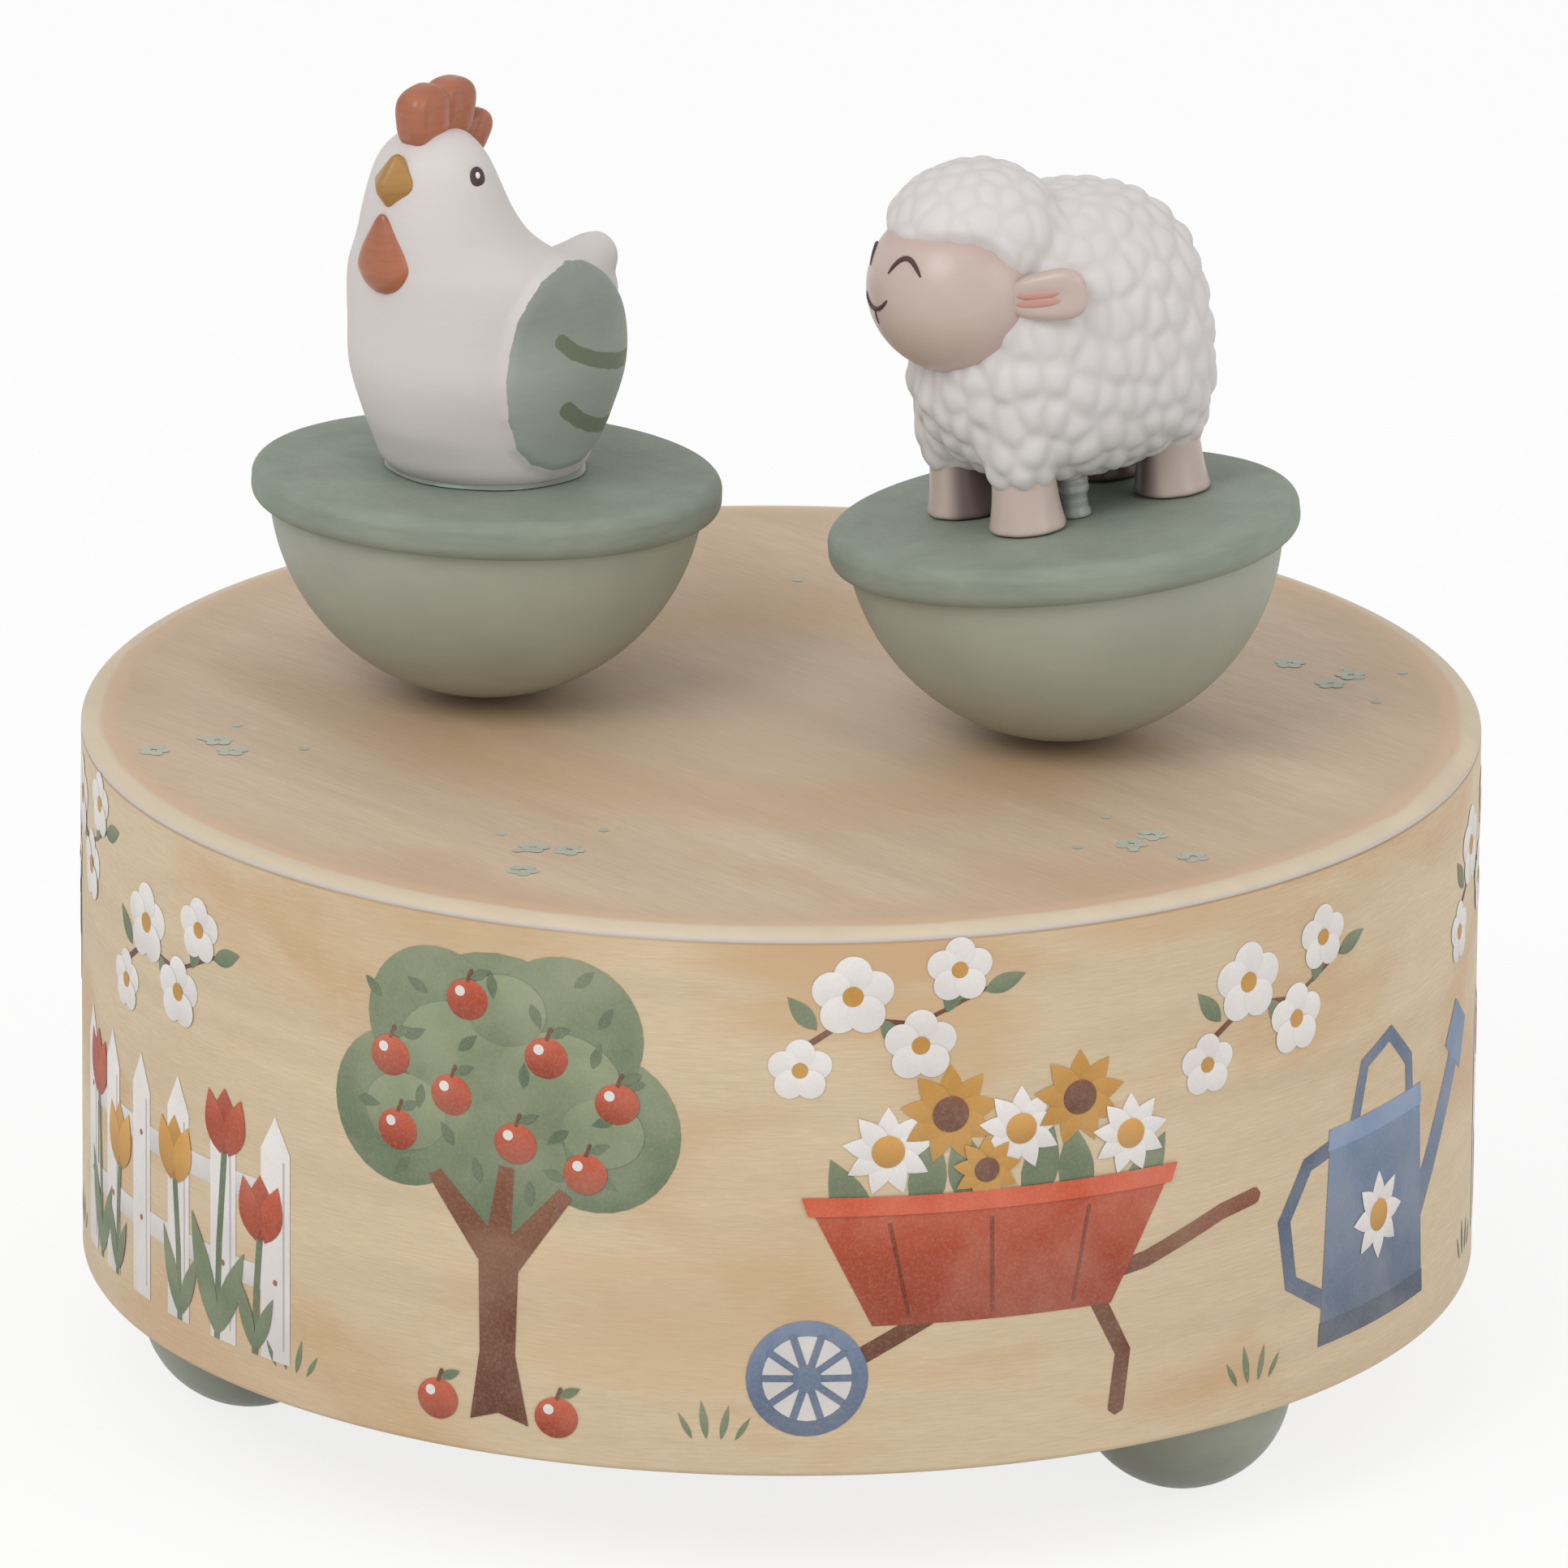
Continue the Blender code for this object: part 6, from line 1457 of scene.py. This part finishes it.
class MUSICBOX_OT_sheep(bpy.types.Operator):
    """The sheep: curled fleece, face, ears, legs, painted eyes and mouth, and the peg of glue"""
    bl_idname = "musicbox.sheep"
    bl_label = "Sheep"

    def execute(self, context):
        sheep = context.scene.music_sheep
        matrix = figure_matrix("sheep", sheep.heading, sheep.shift) @ Matrix.Scale(MM, 4)
        turn = head_axes(sheep)
        piece("sheep_fleece", placed(fleece(sheep), matrix), fleece_material(sheep), "sheep_top",
              ["sheep_figure"], sharp=80)

        skin_look = skin_material(sheep)
        face = globe(SHEEP_FACE[1], SHEEP_FACE[0], columns=96, rows=72)
        fringe = face.verts.layers.float.new("fringe")
        for vert in face.verts:
            vert[fringe] = smoothstep(-0.14, -0.02, face_distance(vert.co, sheep)[0])
        piece("sheep_face", placed(face, matrix), skin_look, "sheep_top")
        pink_look = paint_material("ear_pink", sheep.pink, rough=0.42, drag=0.9, tone=0.06)
        for side, label in ((1, "left"), (-1, "right")):
            splay = Matrix.Rotation(math.radians(-side * EAR_SPLAY), 3, "Z")
            tilt = Matrix.Rotation(math.radians(3), 3, "Y")
            ear_turn = turn @ splay @ tilt
            centre = Vector(SHEEP_FACE[0]) + turn @ sided(EAR_PLACE, side)
            ear = globe((3.15, 1.0, 2.15), columns=48, rows=36, square=0.68)
            for vert in ear.verts:
                vert.co.z *= 1.0 - 0.24 * smoothstep(-2.6, 3.3, vert.co.x)
                cup = 0.3 * math.exp(-(vert.co.z / 0.9) ** 2 - ((vert.co.x - 0.4) / 2.4) ** 2)
                if vert.co.y * side > 0:
                    vert.co.y -= side * cup
            placed(ear, Matrix.Translation(centre) @ ear_turn.to_4x4())
            piece(f"sheep_ear_{label}", placed(ear, matrix), skin_look, "sheep_top")
            stripes = []
            for up, half in ((0.30, (1.80, 0.2, 0.36)), (-0.34, (1.90, 0.2, 0.40))):
                stripe = globe(half, columns=32, rows=12)
                place = centre + ear_turn @ sided((0.5, 0.72, up), side)
                placed(stripe, Matrix.Translation(place) @ ear_turn.to_4x4())
                stripes.append(stripe)
            piece(f"sheep_ear_pink_{label}", placed(merged(stripes), matrix), pink_look, "sheep_top")

        legs = []
        for forward, aside in LEGS:
            heights = (0.6, 1.0, 1.5, 2.1, 2.8, 3.6, 4.4, 5.0)
            shin = [(2.5 + 0.58 * (1.0 - up / 5.0) ** 2.2, up) for up in heights]
            hoof = arc((2.72, 0.3), 0.3, -80, 0, 4)
            leg = lathe([(0.0, 0.0), (2.6, 0.0), *hoof, *shin, (2.5, 7.4), (0.0, 7.4)], 96)
            leg.verts.layers.float.new("shade")
            for vert in leg.verts:
                around = math.atan2(vert.co.y, vert.co.x)
                toes = 0.010 * math.cos(9 * around) * smoothstep(2.4, 0.2, vert.co.z)
                inward = math.cos(around - math.atan2(-aside, -math.copysign(2.4, forward)))
                vert[leg.verts.layers.float["shade"]] = smoothstep(-0.2, 0.45, inward)
                vert.co.x *= 1.0 + toes
                vert.co.y *= 1.0 + toes
            legs.append(placed(leg, Matrix.Translation((forward, aside, 0.0))))
        piece("sheep_legs", placed(merged(legs), matrix), skin_look, "sheep_top")

        line_look = paint_material("line_paint", sheep.line, rough=0.4, drag=0.2, tone=0.06)
        eyes = []
        for side in (1, -1):
            arch = []
            for index in range(13):
                part = index / 12 * 2 - 1
                arch.append(on_face(sheep, side * 28 + part * 13.5, 32.5 - 11.5 * part ** 2))
            eyes.append(tube(arch, 0.22))
        piece("sheep_eyes", placed(merged(eyes), matrix), line_look, "sheep_top")
        smile = []
        for index in range(17):
            part = index / 16 * 2 - 1
            smile.append(on_face(sheep, part * 15.5, -4.5 + 8.0 * part ** 2))
        nose = [on_face(sheep, 0.0, -4.5 - 2.2 * index) for index in range(6)]
        mouth = merged([tube(smile, 0.2), tube(nose, 0.11)])
        piece("sheep_mouth", placed(mouth, matrix), line_look, "sheep_top")

        sides = [(1.22 + 0.12 * math.cos(2.6 * up) + 0.05 * math.sin(7.0 * up), up)
                 for up in np.arange(0.0, 3.3, 0.2)]
        peg = lathe([(0.0, 0.0), *sides, (0.0, 3.2)], 40)
        low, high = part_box("glue_peg")
        middle = matrix.inverted() @ ((low + high) / 2)
        placed(peg, Matrix.Translation((middle.x, middle.y, 0.0)))
        piece("glue_blob", placed(peg, matrix), glue_material("set_glue"), "sheep_top",
              ["glue_peg"])
        return {"FINISHED"}


class MUSICBOX_OT_movement(bpy.types.Operator):
    """Metals of the movement, the winding key and the screws"""
    bl_idname = "musicbox.movement"
    bl_label = "Movement"

    def execute(self, context):
        metal = context.scene.music_metal
        steel = metal_material("bright_steel", metal.steel, rough=0.24, wear=0.35)
        dress("steel", steel)
        dress("comb_steel", metal_material("ground_steel", metal.steel, rough=0.18, wear=0.2))
        dress("weight_steel", metal_material("turned_steel", toned(metal.steel, 0.8), rough=0.3, wear=0.6))
        dress("brass", metal_material("bright_brass", metal.brass, rough=0.2, wear=0.35))
        dress("magnet", metal_material("nickel_plate", metal.nickel, rough=0.14, wear=0.2))
        return {"FINISHED"}


# Stage

def area_lamp(name, place, target, size, power):
    lamp = bpy.data.lights.new(name, "AREA")
    lamp.shape = "DISK"
    lamp.size = size
    lamp.energy = power
    made = bpy.data.objects.new(name, lamp)
    made.location = place
    made.rotation_euler = (Vector(target) - Vector(place)).to_track_quat("-Z", "Y").to_euler()
    bpy.context.scene.collection.objects.link(made)


class MUSICBOX_OT_stage(bpy.types.Operator):
    """Pale floor, soft lamps, sky and the camera"""
    bl_idname = "musicbox.stage"
    bl_label = "Stage"

    def execute(self, context):
        stage = context.scene.music_stage
        scene = context.scene
        scene.view_settings.view_transform = "Standard"

        ground = bmesh.new()
        bmesh.ops.create_grid(ground, x_segments=1, y_segments=1, size=4.0)
        mesh = bpy.data.meshes.new("floor")
        ground.to_mesh(mesh)
        ground.free()
        floor = bpy.data.objects.new("floor", mesh)
        scene.collection.objects.link(floor)
        pale = bpy.data.materials.new("pale_floor")
        pale.use_nodes = True
        tree = pale.node_tree
        shader = tree.nodes["Principled BSDF"]
        glow = add(tree, "ShaderNodeEmission", {"Color": (1.0, 1.0, 1.0, 1.0), "Strength": 1.0})
        path = add(tree, "ShaderNodeLightPath")
        mirrored = maths(tree, "MAXIMUM", path.outputs["Is Glossy Ray"], path.outputs["Is Transmission Ray"])
        seen = maths(tree, "MAXIMUM", path.outputs["Is Camera Ray"], mirrored)
        dull = (*[stage.ground] * 3, 1.0)
        back = mixed(tree, path.outputs["Is Camera Ray"], dull, (0.95, 0.95, 0.95, 1.0))
        feed(tree, shader, Base_Color=back, Roughness=0.9, Specular_IOR_Level=0.1)
        part = maths(tree, "MULTIPLY", seen, 0.82)
        both = add(tree, "ShaderNodeMixShader", {0: part, 1: shader.outputs[0], 2: glow.outputs[0]})
        tree.links.new(both.outputs[0], tree.nodes["Material Output"].inputs["Surface"])
        mesh.materials.append(pale)

        world = bpy.data.worlds.new("studio")
        scene.world = world
        world.use_nodes = True
        tree = world.node_tree
        back = tree.nodes["Background"]
        path = add(tree, "ShaderNodeLightPath")
        seen = maths(tree, "MAXIMUM", path.outputs["Is Camera Ray"], path.outputs["Is Transmission Ray"])
        strength = maths(tree, "ADD", maths(tree, "MULTIPLY", seen, 1.0 - stage.sky), stage.sky)
        back.inputs["Color"].default_value = (1.0, 1.0, 1.0, 1.0)
        tree.links.new(strength, back.inputs["Strength"])

        middle = Vector((0.0, 0.0, (DRUM_LOW.z + TOP_HIGH.z) / 2))
        area_lamp("key", (-0.55, -0.75, 0.95), middle, 0.7, stage.key)
        area_lamp("fill", (0.85, -0.6, 0.5), middle, 0.8, stage.fill)

        away = Vector((0.0, math.cos(stage.elevation), -math.sin(stage.elevation)))
        place = middle - away * stage.distance
        right = Vector((1.0, 0.0, 0.0))
        up = right.cross(away)
        aim = away + up * math.tan(stage.aim_up) + right * math.tan(stage.aim_right)
        look = aim.to_track_quat("-Z", "Y").to_matrix() @ Matrix.Rotation(stage.roll, 3, "Z")
        data = bpy.data.cameras.new("camera")
        data.lens = stage.lens
        data.sensor_width = 36.0
        data.clip_end = 20.0
        camera = bpy.data.objects.new("camera", data)
        camera.matrix_world = Matrix.Translation(place) @ look.to_4x4()
        scene.collection.objects.link(camera)
        scene.camera = camera
        return {"FINISHED"}


OPERATORS = (
    MUSICBOX_OT_drum, MUSICBOX_OT_feet, MUSICBOX_OT_side_print, MUSICBOX_OT_top_print, MUSICBOX_OT_tumblers,
    MUSICBOX_OT_hen, MUSICBOX_OT_sheep, MUSICBOX_OT_movement, MUSICBOX_OT_stage,
)


class MUSICBOX_PT_panel(bpy.types.Panel):
    """Sizes and colours of the music box, and the buttons that make its pieces"""
    bl_idname = "MUSICBOX_PT_panel"
    bl_label = "Music box"
    bl_space_type = "VIEW_3D"
    bl_region_type = "UI"
    bl_category = "Music box"

    def draw(self, context):
        for operator in OPERATORS:
            self.layout.operator(operator.bl_idname)
        for name, settings in GROUPS:
            box = self.layout.box()
            box.label(text=settings.__name__)
            for key in settings.__annotations__:
                box.prop(getattr(context.scene, name), key)


def register():
    for name, settings in GROUPS:
        bpy.utils.register_class(settings)
        setattr(bpy.types.Scene, name, PointerProperty(type=settings))
    for operator in OPERATORS:
        bpy.utils.register_class(operator)
    bpy.utils.register_class(MUSICBOX_PT_panel)


def unregister():
    bpy.utils.unregister_class(MUSICBOX_PT_panel)
    for operator in reversed(OPERATORS):
        bpy.utils.unregister_class(operator)
    for name, settings in reversed(GROUPS):
        delattr(bpy.types.Scene, name)
        bpy.utils.unregister_class(settings)


def main():
    register()
    bpy.ops.musicbox.stage()
    bpy.ops.musicbox.drum()
    bpy.ops.musicbox.feet()
    bpy.ops.musicbox.side_print()
    bpy.ops.musicbox.top_print()
    bpy.ops.musicbox.tumblers()
    bpy.ops.musicbox.hen()
    bpy.ops.musicbox.sheep()
    bpy.ops.musicbox.movement()


if __name__ == "__main__":
    main()
